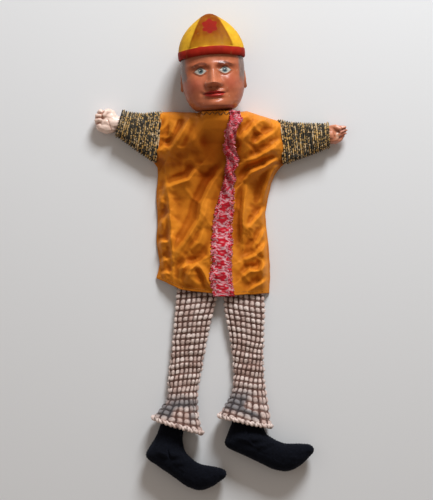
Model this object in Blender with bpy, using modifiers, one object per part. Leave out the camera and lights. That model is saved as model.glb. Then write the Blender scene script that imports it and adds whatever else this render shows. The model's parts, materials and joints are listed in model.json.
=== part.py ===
"""Glove puppet with hanging legs, lying on its back with its arms spread.

+X is to the puppet's own left, +Y runs from the feet to the crown, and +Z is up
from the table that the puppet lies on. The origin is the centre of its footprint.
Sizes are written in millimetres and turned into metres by MM.
"""

import math

import bmesh
import bpy
from mathutils import Matrix, Vector

MM = 0.001
GAP = 0.4

# Head, measured along its own axis from the neck pivot
NECK = Vector((-5.2, 142.0, 30.0))
HEAD_TILT = math.radians(4)
FINGER_BORE_RADIUS = 11.2
FINGER_TUBE_OUTER = 10.8
FINGER_TUBE_INNER = 9.6
FINGER_DEPTH = 62.0
BAND_LOW = 70.4
BAND_HIGH = 79.0
CROWN_HIGH = 119.8

# Cloth
SATIN = 1.2
KNIT = 2.2
TROUSER_CLOTH = 1.6
FELT = 2.6
HEM_Y = -45.0
PANEL_TOP_Y = 135.0
ARMPIT_Y = 86.0
SEAM_HEIGHT = 3.0

# Shoes
SHOE_THICK = 30.0
SHOE_SIDES = 44
SHOE_RIM = 1.6
SHAFT_SHARE = 0.6


def clear_scene():
    for old in list(bpy.data.objects):
        bpy.data.objects.remove(old)


def make_collection(name):
    made = bpy.data.collections.new(name)
    bpy.context.scene.collection.children.link(made)
    return made


def material(name, colour, roughness):
    made = bpy.data.materials.new(name)
    made.use_nodes = True
    shader = made.node_tree.nodes["Principled BSDF"]
    shader.inputs["Base Color"].default_value = (*colour, 1.0)
    shader.inputs["Roughness"].default_value = roughness
    shader.inputs["Metallic"].default_value = 0.0
    return made


def add_object(name, bm, surface, parent=None):
    """Turns a bmesh in millimetres into a named, shaded object in the puppet's collection."""
    bmesh.ops.scale(bm, vec=(MM, MM, MM), verts=bm.verts)
    mesh = bpy.data.meshes.new(name)
    bm.to_mesh(mesh)
    bm.free()
    mesh.shade_smooth()
    mesh.set_sharp_from_angle(angle=math.radians(40))
    made = bpy.data.objects.new(name, mesh)
    made.data.materials.append(surface)
    made.parent = parent
    PUPPET.objects.link(made)
    return made


def ring(centre, across, up, sides, power=1.0):
    """Points round a superellipse: power 1 is an ellipse, and less than 1 is squarer."""
    found = []
    for k in range(sides):
        turn = 2 * math.pi * k / sides
        c = math.copysign(abs(math.cos(turn)) ** power, math.cos(turn))
        s = math.copysign(abs(math.sin(turn)) ** power, math.sin(turn))
        found.append(centre + across * c + up * s)
    return found


def loft(rings, closed_ends=True):
    """A skin through rings of points, each with the same number of points."""
    bm = bmesh.new()
    rows = [[bm.verts.new(p) for p in points] for points in rings]
    sides = len(rows[0])
    for low, high in zip(rows, rows[1:]):
        for k in range(sides):
            n = (k + 1) % sides
            bm.faces.new((low[k], low[n], high[n], high[k]))
    ends = [bm.faces.new(rows[0]), bm.faces.new(rows[-1])]
    bmesh.ops.recalc_face_normals(bm, faces=bm.faces)
    if not closed_ends:
        bmesh.ops.delete(bm, geom=ends, context="FACES_ONLY")
    return bm


def strip_rings(sections, sides, power=1.0):
    """Rings for a limb: each section is (edge point, other edge point, lowest z, highest z)."""
    found = []
    for one, other, low, high in sections:
        a, b = Vector((*one, 0)), Vector((*other, 0))
        centre = (a + b) / 2 + Vector((0, 0, (low + high) / 2))
        found.append(ring(centre, (b - a) / 2, Vector((0, 0, (high - low) / 2)), sides, power))
    return found


def solidify(target, thickness, offset=-1.0):
    made = target.modifiers.new("wall", "SOLIDIFY")
    made.thickness = thickness * MM
    made.offset = offset
    made.use_even_offset = True
    return made


def cloth_tube(name, sections, wall, surface, sides=20, power=0.8):
    """A hollow limb of cloth, open at both ends, with its wall inside the sections."""
    tube = add_object(name, loft(strip_rings(sections, sides, power), closed_ends=False), surface)
    solidify(tube, wall)
    return tube


def cylinder_cutter(name, radius, start, end, sides=24):
    """A cylinder between two points, kept out of the render, for Boolean cuts."""
    axis = end - start
    bm = bmesh.new()
    bmesh.ops.create_cone(
        bm, cap_ends=True, segments=sides, radius1=radius, radius2=radius, depth=axis.length
    )
    turn = Vector((0, 0, 1)).rotation_difference(axis.normalized()).to_matrix().to_4x4()
    bmesh.ops.transform(bm, matrix=Matrix.Translation((start + end) / 2) @ turn, verts=bm.verts)
    bmesh.ops.scale(bm, vec=(MM, MM, MM), verts=bm.verts)
    mesh = bpy.data.meshes.new(name)
    bm.to_mesh(mesh)
    bm.free()
    made = bpy.data.objects.new(name, mesh)
    made.hide_render = True
    made.display_type = "WIRE"
    CUTTERS.objects.link(made)
    return made


def boolean(target, tool, operation):
    cut = target.modifiers.new(operation.lower(), "BOOLEAN")
    cut.operation = operation
    cut.object = tool
    cut.solver = "EXACT"


def turned(name, profile, surface, parent, sides=28):
    """A ring turned about the head's axis: the profile holds (radius, height) pairs, closed."""
    bm = bmesh.new()
    rows = []
    for radius, height in profile:
        around = Vector((radius, 0, 0)), Vector((0, 0, radius))
        rows.append([bm.verts.new(p) for p in ring(Vector((0, height, 0)), *around, sides)])
    for row, following in zip(rows, rows[1:] + rows[:1]):
        for k in range(sides):
            n = (k + 1) % sides
            bm.faces.new((row[k], row[n], following[n], following[k]))
    bmesh.ops.recalc_face_normals(bm, faces=bm.faces)
    return add_object(name, bm, surface, parent)


# ---- tunic -------------------------------------------------------------------


def lerp_table(table, at):
    """Reads a table of (key, value, ...) rows, in falling or rising key order, at a key."""
    rows = sorted(table)
    if at <= rows[0][0]:
        return rows[0][1:]
    for low, high in zip(rows, rows[1:]):
        if at <= high[0]:
            t = (at - low[0]) / (high[0] - low[0])
            return tuple(a + (b - a) * t for a, b in zip(low[1:], high[1:]))
    return rows[-1][1:]


# y, right edge x, left edge x, height over the table at the middle, height of the side edges
TUNIC = (
    (HEM_Y, -70, 54, 16, SEAM_HEIGHT),
    (-10, -71, 52, 18, SEAM_HEIGHT),
    (30, -72, 51, 20, SEAM_HEIGHT),
    (60, -73, 53, 22, SEAM_HEIGHT),
    (ARMPIT_Y, -70, 57, 25, SEAM_HEIGHT),
    (98, -60, 50, 28, 12),
    (118, -48, 38, 36, 18),
    (PANEL_TOP_Y, -36, 26, 50, 24),
)
# y, height of the back panel over the table at the middle
BACK_RISE = ((HEM_Y, 0), (100, 0), (120, 3), (PANEL_TOP_Y, 9))


def front_height(x, y):
    """Height of the front panel's outer face over the table."""
    right, left, top, edge = lerp_table(TUNIC, y)
    s = min(1.0, abs(2 * (x - right) / (left - right) - 1))
    return edge + (top - edge) * (1 - s**3)


def back_height(x, y):
    """Height of the back panel's outer face over the table: it rises only under the neck."""
    right, left, _, _ = lerp_table(TUNIC, y)
    (rise,) = lerp_table(BACK_RISE, y)
    s = min(1.0, abs(2 * (x - right) / (left - right) - 1))
    return rise * (1 - s * s)


def panel_rows(low, high, count):
    return [low + (high - low) * k / (count - 1) for k in range(count)]


def panel(name, height, thickness, surface, rows, columns=15, inset=0.0, low=0.0, high=1.0):
    """An open sheet over part of the tunic's outline, thickened inwards.

    low and high are the share of the width that the sheet covers.
    """
    bm = bmesh.new()
    grid = []
    for y in rows:
        right, left, _, _ = lerp_table(TUNIC, y)
        span = left - right
        line = []
        for k in range(columns):
            x = right + span * (low + (high - low) * k / (columns - 1))
            line.append(bm.verts.new((x, y, height(x, y) - inset)))
        grid.append(line)
    for a, b in zip(grid, grid[1:]):
        for k in range(columns - 1):
            bm.faces.new((a[k], a[k + 1], b[k + 1], b[k]))
    sheet = add_object(name, bm, surface)
    solidify(sheet, abs(thickness), -1.0 if thickness > 0 else 1.0)
    return sheet


def build_tunic():
    satin = material("mustard_satin", (0.72, 0.36, 0.06), 0.4)
    tape = material("cotton_tape", (0.75, 0.68, 0.55), 0.9)
    rows = panel_rows(HEM_Y, ARMPIT_Y, 10) + panel_rows(98, PANEL_TOP_Y, 5)
    panel("tunic_front", front_height, SATIN, satin, rows)
    panel("tunic_back", back_height, -SATIN, satin, rows)
    tape_rows = panel_rows(HEM_Y + 1.5, HEM_Y + 10, 3)
    panel("leg_tape", front_height, 1.0, tape, tape_rows, 15, SATIN + 2 * GAP, 0.13, 0.95)


# y, centre x and half width of the printed scarf that runs down the tunic's front
SCARF = (
    (PANEL_TOP_Y - 1, 14.5, 6.0),
    (122, 9, 6.5),
    (106, 11.5, 7.5),
    (90, 9.5, 5.5),
    (70, 5, 7.5),
    (50, 3, 9.5),
    (20, 1, 10.5),
    (-10, 0, 10.5),
    (HEM_Y, 2, 11.5),
)
SCARF_THICK = 2.4


def build_scarf():
    cloth = material("printed_cotton", (0.72, 0.12, 0.2), 0.85)
    sections = []
    for y in panel_rows(HEM_Y + 0.5, PANEL_TOP_Y - 1, 14):
        x, half = lerp_table(SCARF, y)
        under = max(front_height(x + side * half, y) for side in (-1, 0, 1)) + GAP + 0.3
        sections.append(((x - half, y), (x + half, y), under, under + SCARF_THICK))
    add_object("front_scarf", loft(strip_rings(sections, 12, 0.6)), cloth)


# ---- arms --------------------------------------------------------------------

# Each section is upper edge, lower edge, lowest z, highest z
ARM = {
    "right": {
        "shoulder": (
            ((-38, 153), (-64, 93.5), 0.6, 30),
            ((-52, 154), (-67, 97), 0.4, 24),
            ((-65, 154), (-71, 101), 0.4, 20),
        ),
        "sleeve": (
            ((-66.5, 154.5), (-72.5, 101.5), 0.3, 19.5),
            ((-89, 154), (-95, 116), 0.3, 20),
            ((-112, 156), (-115, 130.5), 0.0, 21),
        ),
        "hand": (
            ((-119, 157), (-119.3, 131), 3.5, 17),
            ((-127, 159), (-128, 132), 3.0, 18),
            ((-135, 157), (-134, 136), 4.0, 17),
            ((-139.5, 151), (-139.5, 142), 7.0, 14),
        ),
        "wrist": (Vector((-102, 143.3, 10.5)), Vector((-117.4, 143.5, 10.5))),
    },
    "left": {
        "shoulder": (
            ((28, 153), (54, 93.5), 0.6, 30),
            ((48, 151), (63, 97), 0.4, 24),
            ((65.5, 145), (71.5, 101), 0.4, 20),
        ),
        "sleeve": (
            ((67, 144.5), (73, 101), 0.3, 19.5),
            ((92.5, 142), (96, 108.5), 0.3, 20),
            ((116, 142), (117, 116.5), 0.0, 21),
        ),
        "hand": (
            ((122, 142.5), (122, 119), 3.5, 17.5),
            ((127, 143), (126.5, 122), 3.0, 18),
            ((134, 141), (132.5, 128), 4.5, 16),
            ((139.5, 138.5), (139.5, 134), 8.0, 13),
        ),
        "wrist": (Vector((106, 129.2, 10.5)), Vector((120.4, 129.6, 10.5))),
    },
}
WRIST_RADIUS = 7.4
FINGERTIP_RADIUS = 5.6
FINGERTIP_DEPTH = 13.0
CUFF_WELT = 2.6


def build_arm(side, satin, knit, flesh, welt):
    arm = ARM[side]
    cloth_tube(f"shoulder_{side}", arm["shoulder"], SATIN, satin, sides=24)
    cloth_tube(f"knit_sleeve_{side}", arm["sleeve"], KNIT, knit, sides=24)
    start, end = arm["wrist"]
    outward = (end - start).normalized()
    rings = [ring(start, Vector((0, WRIST_RADIUS, 0)), Vector((0, 0, WRIST_RADIUS)), 24)]
    rings.append(ring(end, Vector((0, WRIST_RADIUS, 0)), Vector((0, 0, WRIST_RADIUS)), 24))
    rings += strip_rings([(b, a, low, high) for a, b, low, high in arm["hand"]], 24, 0.85)
    hand = add_object(f"hand_{side}", loft(rings), flesh)
    bore_end = start + outward * FINGERTIP_DEPTH
    bore = cylinder_cutter(f"bore_{side}", FINGERTIP_RADIUS, start - outward * 3, bore_end)
    boolean(hand, bore, "DIFFERENCE")
    cuff = arm["sleeve"][-1]
    middle = Vector(((cuff[0][0] + cuff[1][0]) / 2, (cuff[0][1] + cuff[1][1]) / 2, 10.5))
    outer = Vector((cuff[0][0] - cuff[1][0], cuff[0][1] - cuff[1][1], 0)) / 2
    shift = outward * (GAP + 0.2)
    ends = [middle + shift, middle + shift + outward * CUFF_WELT]
    inner_scale = 0.87
    bm = bmesh.new()
    rows = []
    for centre, scale in ((ends[0], 1.0), (ends[1], 1.0), (ends[1], inner_scale), (ends[0], inner_scale)):
        points = ring(centre, outer * scale, Vector((0, 0, 10.4 * scale)), 24, 0.85)
        rows.append([bm.verts.new(p) for p in points])
    for row, following in zip(rows, rows[1:] + rows[:1]):
        for k in range(24):
            n = (k + 1) % 24
            bm.faces.new((row[k], row[n], following[n], following[k]))
    bmesh.ops.recalc_face_normals(bm, faces=bm.faces)
    add_object(f"cuff_welt_{side}", bm, welt)


# ---- head --------------------------------------------------------------------

# height, half width, back, front: the last two are depths from the neck's axis
SKULL = (
    (14.0, 20.0, -12.0, 31.0),
    (17.0, 26.0, -18.0, 33.0),
    (26.0, 31.5, -24.5, 34.0),
    (40.0, 34.5, -29.0, 33.5),
    (55.0, 35.0, -30.0, 32.0),
    (BAND_LOW - GAP, 34.5, -29.6, 31.5),
)
NECK_PROFILE = (
    (0.0, 15.5),
    (3.0, 15.5),
    (4.5, 13.4),
    (10.5, 13.4),
    (12.5, 15.5),
)
CROWN = (
    (BAND_HIGH + GAP, 35.5, -29.0, 32.5),
    (88.5, 33.8, -27.5, 30.0),
    (97.0, 30.0, -24.5, 26.0),
    (105.5, 24.0, -19.5, 20.5),
    (112.5, 16.5, -13.0, 14.0),
    (117.5, 9.0, -7.0, 8.0),
    (CROWN_HIGH, 3.0, -2.5, 3.5),
)
BAND = ((BAND_LOW, 36.5, -29.8, 34.0), (BAND_HIGH, 36.6, -29.6, 33.8))


def head_rings(sections, sides=36):
    found = []
    for height, half, back, front in sections:
        centre = Vector((0, height, (back + front) / 2))
        up = Vector((0, 0, (front - back) / 2))
        found.append(ring(centre, Vector((half, 0, 0)), up, sides, 0.92))
    return found


def ellipsoid(name, centre, radii):
    """A helper solid that is joined to the head."""
    bm = bmesh.new()
    bmesh.ops.create_uvsphere(bm, u_segments=16, v_segments=10, radius=1.0)
    bmesh.ops.scale(bm, vec=radii, verts=bm.verts)
    bmesh.ops.translate(bm, vec=centre, verts=bm.verts)
    bmesh.ops.scale(bm, vec=(MM, MM, MM), verts=bm.verts)
    mesh = bpy.data.meshes.new(name)
    bm.to_mesh(mesh)
    bm.free()
    made = bpy.data.objects.new(name, mesh)
    made.hide_render = True
    made.display_type = "WIRE"
    CUTTERS.objects.link(made)
    return made


def build_head():
    flesh = material("painted_flesh", (0.72, 0.38, 0.24), 0.3)
    yellow = material("yellow_paint", (0.85, 0.6, 0.08), 0.35)
    red = material("red_paint", (0.62, 0.05, 0.03), 0.35)
    card = material("grey_card", (0.55, 0.48, 0.38), 0.9)
    satin = material("collar_satin", (0.72, 0.36, 0.06), 0.4)
    thread = material("linen_thread", (0.2, 0.12, 0.08), 0.9)

    pivot = bpy.data.objects.new("neck_pivot", None)
    PUPPET.objects.link(pivot)
    pivot.location = NECK * MM
    pivot.rotation_euler = (0, 0, HEAD_TILT)

    neck = [
        ring(Vector((0, height, 0)), Vector((radius, 0, 0)), Vector((0, 0, radius)), 36, 0.98)
        for height, radius in NECK_PROFILE
    ]
    head = add_object("head", loft(neck + head_rings(SKULL)), flesh, pivot)
    extras = (
        ("nose", (0, 44, 34), (5.5, 9, 8)),
        ("ear_left", (35, 46, -1), (4, 11, 7)),
        ("ear_right", (-35, 46, -1), (4, 11, 7)),
    )
    for name, centre, radii in extras:
        lump = ellipsoid(f"{name}_shape", centre, radii)
        lump.parent = pivot
        boolean(head, lump, "UNION")
    depth = Vector((0, FINGER_DEPTH, 0))
    bore = cylinder_cutter("finger_bore", FINGER_BORE_RADIUS, Vector((0, -5, 0)), depth, 32)
    bore.parent = pivot
    boolean(head, bore, "DIFFERENCE")

    add_object("cap_band", loft(head_rings(BAND)), red, pivot)
    add_object("cap_crown", loft(head_rings(CROWN)), yellow, pivot)
    top = FINGER_DEPTH - 2
    tube = (
        (FINGER_TUBE_OUTER, -2),
        (FINGER_TUBE_OUTER, top),
        (FINGER_TUBE_INNER, top),
        (FINGER_TUBE_INNER, -2),
    )
    turned("finger_tube", tube, card, pivot)
    gather = ((16.2, 4.8), (18.2, 1.6), (19.6, 0.8), (18.0, 5.0), (16.2, 7.0), (19.2, 11.4), (17.6, 11.6),
              (14.2, 8.8), (14.0, 6.0))
    turned("neck_gather", gather, satin, pivot)
    wound = [
        (17.5 + 0.9 * math.cos(t), 7.2 + 0.9 * math.sin(t))
        for t in (2 * math.pi * k / 8 for k in range(8))
    ]
    turned("neck_thread", [(r + 0.9, h) for r, h in wound], thread, pivot)


# ---- legs --------------------------------------------------------------------

# Each section is one edge, the other edge, lowest z, highest z
LEG = {
    "right": {
        "thigh": (
            ((-50, -45.8), (-10, -45.8), 5.5, 13.5),
            ((-51.5, -74), (-13, -74), 0.3, 9.5),
            ((-54, -107), (-17.5, -107), 0.3, 9.5),
        ),
        "shin": (
            ((-54.3, -108), (-17.8, -108), 0.3, 9.5),
            ((-56, -140), (-24, -140), 0.3, 10.5),
            ((-57.5, -162), (-27, -162), 0.3, 16),
            ((-66, -174), (-25, -182), 0.3, 28),
            ((-74, -179), (-21, -197), 0.3, 32),
        ),
    },
    "left": {
        "thigh": (
            ((1, -45.8), (48.5, -45.8), 5.5, 13.5),
            ((8, -85), (46.5, -85), 0.3, 9.5),
            ((12.5, -107), (46.2, -107), 0.3, 9.5),
        ),
        "shin": (
            ((12.7, -108), (46.2, -108), 0.3, 9.5),
            ((14, -136), (46.5, -134), 0.3, 10.5),
            ((12, -158), (49, -154), 0.3, 16),
            ((6, -169), (51, -172), 0.3, 28),
            ((-1.5, -177), (55.5, -189.5), 0.3, 32),
        ),
    },
}
WELT_GAP = 1.2
WELT_THICK = 2.2
WELT_LENGTH = 4.2

# Side outline of a shoe in its own plane: x to the toe, y up the ankle, origin at the ankle
SHOE_OUTLINE = (
    (-18.5, 8.0),
    (-25.9, -12.5),
    (-23.5, -20.0),
    (-6.6, -28.6),
    (13.2, -37.8),
    (28.0, -44.8),
    (43.0, -47.0),
    (56.0, -41.5),
    (68.5, -30.5),
    (72.0, -24.0),
    (68.5, -18.8),
    (58.0, -17.0),
    (40.0, -16.5),
    (28.0, -11.5),
    (18.5, -5.0),
    (13.5, 8.0),
)
SHOE_HEART = Vector((13.0, -22.0))
SHOE = {
    "right": {"ankle": Vector((-56.4, -210.3)), "turn": -10, "size": 0.93, "shaft": 26},
    "left": {"ankle": Vector((29.8, -192.5)), "turn": 0, "size": 1.0, "shaft": 18},
}


def smooth_outline(corners, count):
    """Evenly spread points on a Catmull-Rom curve through the corners, closed."""
    found = []
    n = len(corners)
    for k in range(count):
        at = k * n / count
        i = int(at)
        t = at - i
        p0, p1, p2, p3 = (corners[(i + j) % n] for j in (-1, 0, 1, 2))
        found.append(
            (p1 * 2 + (p2 - p0) * t + (p0 * 2 - p1 * 5 + p2 * 4 - p3) * t**2
             + (p1 * 3 - p0 - p2 * 3 + p3) * t**3) / 2
        )
    return found


def shaft_thinning(height):
    """How thick the shoe is at a height up the ankle, as a share of its full thickness."""
    rise = min(1.0, max(0.0, (height + 22.0) / 22.0))
    return 1.0 - (1.0 - SHAFT_SHARE) * rise


def shoe_outline(shoe):
    """The outline in the table's plane, its heart, and each point's share of the thickness."""
    shaft = shoe["shaft"]
    corners = [Vector(p) for p in SHOE_OUTLINE]
    corners += [Vector((12.0, shaft)), Vector((-1.0, shaft + 2)), Vector((-13.0, shaft))]
    turn = Matrix.Rotation(math.radians(shoe["turn"]), 2)
    place = shoe["ankle"]
    heart = place + turn @ (SHOE_HEART * shoe["size"])
    flat = smooth_outline(corners, SHOE_SIDES)
    thin = [shaft_thinning(p.y) for p in flat]
    return [place + turn @ (p * shoe["size"]) for p in flat], heart, thin


def inset_outline(outline, inset):
    """The outline moved inwards by a wall's thickness. It runs anticlockwise."""
    found = []
    for k, p in enumerate(outline):
        along = (outline[(k + 1) % len(outline)] - outline[k - 1]).normalized()
        found.append(p + Vector((-along.y, along.x)) * inset)
    return found


def shoe_rings(outline, heart, thin, shares, half_thick, direction):
    """Rings that shrink towards the heart of the outline as they rise to a pillow's top."""
    found = []
    middle = SHOE_THICK / 2
    for k, share in enumerate(shares):
        height = half_thick * (1 - share**2.6) ** 0.5 + min(k, 1) * SHOE_RIM
        points = []
        for p, thickness in zip(outline, thin):
            lift = height * (1 + (thickness - 1) * share) + GAP / 2
            points.append(Vector((*(heart + (p - heart) * share), middle + direction * lift)))
        found.append(points)
    return found


def build_leg(side, cloth, welt, felt, wool):
    leg = LEG[side]
    cloth_tube(f"trouser_upper_{side}", leg["thigh"], TROUSER_CLOTH, cloth, sides=20)
    cloth_tube(f"trouser_lower_{side}", leg["shin"], TROUSER_CLOTH, cloth, sides=24)
    one, other, low, high = leg["shin"][-1]
    along = Vector((other[0] - one[0], other[1] - one[1]))
    down = Vector((along.y, -along.x)).normalized()
    sections = []
    for shift in (WELT_GAP, WELT_LENGTH):
        a = Vector(one) + down * shift
        b = Vector(other) + down * shift
        sections.append((tuple(a), tuple(b), low, high))
    cloth_tube(f"trouser_welt_{side}", sections, WELT_THICK, welt, sides=24)

    outline, heart, thin = shoe_outline(SHOE[side])
    half = SHOE_THICK / 2 - GAP / 2 - SHOE_RIM
    for face, direction in (("outer", 1), ("inner", -1)):
        shares = (1.0, 1.0, 0.97, 0.9, 0.78, 0.6, 0.35)
        bm = bmesh.new()
        rows = [[bm.verts.new(p) for p in points]
                for points in shoe_rings(outline, heart, thin, shares, half, direction)]
        for low_row, high_row in zip(rows, rows[1:]):
            for k in range(SHOE_SIDES):
                n = (k + 1) % SHOE_SIDES
                bm.faces.new((low_row[k], low_row[n], high_row[n], high_row[k]))
        bm.faces.new(rows[-1])
        bmesh.ops.recalc_face_normals(bm, faces=bm.faces)
        if sum(f.normal.z * f.calc_area() for f in bm.faces) * direction < 0:
            bmesh.ops.reverse_faces(bm, faces=bm.faces)
        solidify(add_object(f"shoe_{face}_{side}", bm, felt), FELT)
    inner = FELT + 3 * GAP
    core = inset_outline(outline, inner)
    shares = (1.0, 0.9, 0.75, 0.5)
    upper = shoe_rings(core, heart, thin, shares, half - inner - 2.6, 1)
    lower = shoe_rings(core, heart, thin, shares, half - inner - 2.6, -1)
    add_object(f"shoe_stuffing_{side}", loft(lower[::-1] + upper), wool)


clear_scene()
PUPPET = make_collection("glove_puppet")
CUTTERS = make_collection("cutters")
build_tunic()
build_scarf()
build_head()

sleeve_satin = material("sleeve_satin", (0.72, 0.36, 0.06), 0.4)
sleeve_knit = material("black_gold_knit", (0.24, 0.19, 0.1), 0.85)
hand_paint = material("hand_paint", (0.8, 0.5, 0.4), 0.35)
welt_knit = material("welt_knit", (0.35, 0.28, 0.14), 0.9)
trouser_knit = material("checked_knit", (0.5, 0.36, 0.32), 0.9)
welt_wool = material("pale_welt", (0.72, 0.58, 0.52), 0.9)
black_felt = material("black_felt", (0.02, 0.022, 0.035), 0.95)
wood_wool = material("wood_wool", (0.7, 0.6, 0.4), 0.95)
for hand_side in ("right", "left"):
    build_arm(hand_side, sleeve_satin, sleeve_knit, hand_paint, welt_knit)
    build_leg(hand_side, trouser_knit, welt_wool, black_felt, wood_wool)
bpy.context.view_layer.update()
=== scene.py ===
"""Looks of a glove puppet that lies on its back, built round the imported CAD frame.

Lengths are in millimetres until a mesh is made, and MM turns them into metres.
+X is the puppet's own left, +Y runs to the crown and +Z is up from the table.
"""

import json
import math

import bmesh
import bpy
import numpy as np
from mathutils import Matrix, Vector


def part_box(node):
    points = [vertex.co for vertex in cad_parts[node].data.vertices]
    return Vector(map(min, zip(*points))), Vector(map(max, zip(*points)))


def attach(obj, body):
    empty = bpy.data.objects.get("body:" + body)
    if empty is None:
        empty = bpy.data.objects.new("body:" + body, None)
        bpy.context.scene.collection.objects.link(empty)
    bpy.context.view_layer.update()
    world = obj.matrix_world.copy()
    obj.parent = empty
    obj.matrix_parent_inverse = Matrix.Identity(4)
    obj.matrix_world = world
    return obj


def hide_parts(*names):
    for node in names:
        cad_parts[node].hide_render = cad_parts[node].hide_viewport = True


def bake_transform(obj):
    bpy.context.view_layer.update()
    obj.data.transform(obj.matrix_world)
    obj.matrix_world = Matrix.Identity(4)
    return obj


MM = 0.001
PAINT = "paint"  # the name of the meshes' own colours
FAR = 1e9

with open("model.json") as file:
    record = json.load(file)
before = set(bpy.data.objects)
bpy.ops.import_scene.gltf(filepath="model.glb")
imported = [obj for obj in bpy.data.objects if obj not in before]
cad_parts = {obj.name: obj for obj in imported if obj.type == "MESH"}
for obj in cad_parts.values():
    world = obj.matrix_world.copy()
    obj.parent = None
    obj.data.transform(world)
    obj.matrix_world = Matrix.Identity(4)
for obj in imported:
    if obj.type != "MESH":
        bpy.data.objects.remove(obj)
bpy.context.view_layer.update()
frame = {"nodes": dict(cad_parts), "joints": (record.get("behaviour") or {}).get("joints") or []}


# ---- places taken from the frame ----------------------------------------------


def node_box(node):
    """Lowest and highest corners of a CAD node, in millimetres."""
    low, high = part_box(node)
    return np.array(low) / MM, np.array(high) / MM


JOINTS = {joint["name"]: joint for joint in frame["joints"]}


def joint_place(name):
    return np.array(JOINTS[name]["pos_m"]) / MM


NECK = joint_place("neck_nod")
HEAD_AXIS = np.array(JOINTS["head_turn"]["axis"])
HEM_Y = node_box("tunic_front")[0][1]


# ---- numbers and noise -----------------------------------------------------------


def smooth(low, high, value):
    """0 below low, 1 above high, with a smooth rise between."""
    t = np.clip((value - low) / (high - low), 0.0, 1.0)
    return t * t * (3 - 2 * t)


def table(rows, at):
    """Reads each column of a (key, value, ...) table at the keys in an array."""
    rows = sorted(rows)
    keys = [row[0] for row in rows]
    return [np.interp(at, keys, [row[k] for row in rows]) for k in range(1, len(rows[0]))]


def hashed(ix, iy, iz, seed):
    """A value from -1 to 1 for each lattice point."""
    mask = np.uint64(0xFFFFFFFF)
    h = ix.astype(np.uint64) * np.uint64(374761393) + iy.astype(np.uint64) * np.uint64(668265263)
    h += iz.astype(np.uint64) * np.uint64(2246822519) + np.uint64(seed * 3266489917 + 374761)
    h &= mask
    h = ((h ^ (h >> np.uint64(15))) * np.uint64(2246822519)) & mask
    h = ((h ^ (h >> np.uint64(13))) * np.uint64(3266489917)) & mask
    h ^= h >> np.uint64(16)
    return h.astype(float) / 0xFFFFFFFF * 2 - 1


def noise(points, size, seed=0):
    """Smooth value noise over points, with bumps about size millimetres across."""
    p = np.asarray(points, float) / size + 4096.0
    base = np.floor(p).astype(np.int64)
    f = p - base
    f = f * f * (3 - 2 * f)
    total = 0.0
    for dx in (0, 1):
        for dy in (0, 1):
            for dz in (0, 1):
                weight = (f[..., 0] if dx else 1 - f[..., 0]) * (f[..., 1] if dy else 1 - f[..., 1])
                weight = weight * (f[..., 2] if dz else 1 - f[..., 2])
                corner = hashed(base[..., 0] + dx, base[..., 1] + dy, base[..., 2] + dz, seed)
                total = total + weight * corner
    return total


def cloudy(points, size, seed=0, octaves=3):
    """Noise of several sizes, each half as large and half as strong as the one before."""
    total, share = 0.0, 1.0
    for k in range(octaves):
        total = total + share * noise(points, size / 2**k, seed + 17 * k)
        share *= 0.5
    return total / 1.75


def running_length(points):
    """Length along a line of points at each of them, from 0."""
    return np.concatenate(([0.0], np.cumsum(np.linalg.norm(np.diff(points, axis=0), axis=1))))


def evenly(points, count):
    """Evenly spaced points round a closed line, and where each is along it."""
    closed = np.concatenate([points, points[:1]])
    run = running_length(closed)
    at = np.linspace(0, run[-1], count, endpoint=False)
    return np.stack([np.interp(at, run, closed[:, k]) for k in range(points.shape[1])], -1), at, run[-1]


def softened(line, rounds):
    """A closed line of points, each drawn towards its neighbours."""
    for _ in range(rounds):
        line = (np.roll(line, 1, 0) + 2 * line + np.roll(line, -1, 0)) / 4
    return line


def full_turn(count):
    """Evenly spaced angles round a circle."""
    return 2 * np.pi * np.arange(count) / count


def xyz(x, y, z):
    """Points from arrays of their three coordinates, which may be single numbers."""
    return np.stack(np.broadcast_arrays(x, y, z), -1).astype(float)


def bump(x, y, cx, cy, wide, tall):
    """A round hill of height 1."""
    return np.exp(-(((x - cx) / wide) ** 2) - ((y - cy) / tall) ** 2)


def polyline_distance(x, y, path):
    """Signed distance to a polyline and the share of its length at the nearest point."""
    path = np.array(path, float)
    lengths = np.linalg.norm(np.diff(path, axis=0), axis=1)
    starts = running_length(path)
    best = np.full(x.shape, FAR)
    side = np.zeros(x.shape)
    share = np.zeros(x.shape)
    for a, b, length, start in zip(path, path[1:], lengths, starts):
        d = (b - a) / length
        t = np.clip((x - a[0]) * d[0] + (y - a[1]) * d[1], 0, length)
        ox, oy = x - a[0] - d[0] * t, y - a[1] - d[1] * t
        distance = np.hypot(ox, oy)
        nearer = distance < best
        best = np.where(nearer, distance, best)
        side = np.where(nearer, np.sign(d[0] * oy - d[1] * ox), side)
        share = np.where(nearer, (start + t) / lengths.sum(), share)
    return best * side, share


def fold(x, y, path, height, width, hollow=0.5):
    """A cloth fold along a path: steep on its left, with a hollow beside it, and slack on its right."""
    distance, share = polyline_distance(x, y, path)
    taper = np.sin(np.pi * np.clip(share, 0.02, 0.98)) ** 0.6
    steep = np.exp(-((np.maximum(distance, 0) / width) ** 1.3))
    slack = np.exp(-np.maximum(-distance, 0) / (3.0 * width))
    dip = np.exp(-(((distance - 2.0 * width) / (1.1 * width)) ** 2))
    return 1.9 * height * taper * (steep * slack - 0.3 * hollow * dip)


def ridged(points, size, seed=0):
    """Sharp crests with round hollows, as in crumpled cloth."""
    return 1 - 2 * np.abs(noise(points, size, seed)) ** 0.8


# ---- meshes ------------------------------------------------------------------------


def link(name, data):
    """A new object in the scene for a mesh, lamp or camera."""
    made = bpy.data.objects.new(name, data)
    bpy.context.scene.collection.objects.link(made)
    return made


def paint_mesh(mesh, colours):
    layer = mesh.attributes.new(PAINT, "FLOAT_COLOR", "POINT")
    flat = np.ones((len(mesh.vertices), 4), np.float32)
    flat[:, :3] = np.clip(colours, 0, 1).reshape(-1, 3)
    layer.data.foreach_set("color", flat.ravel())


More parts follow.
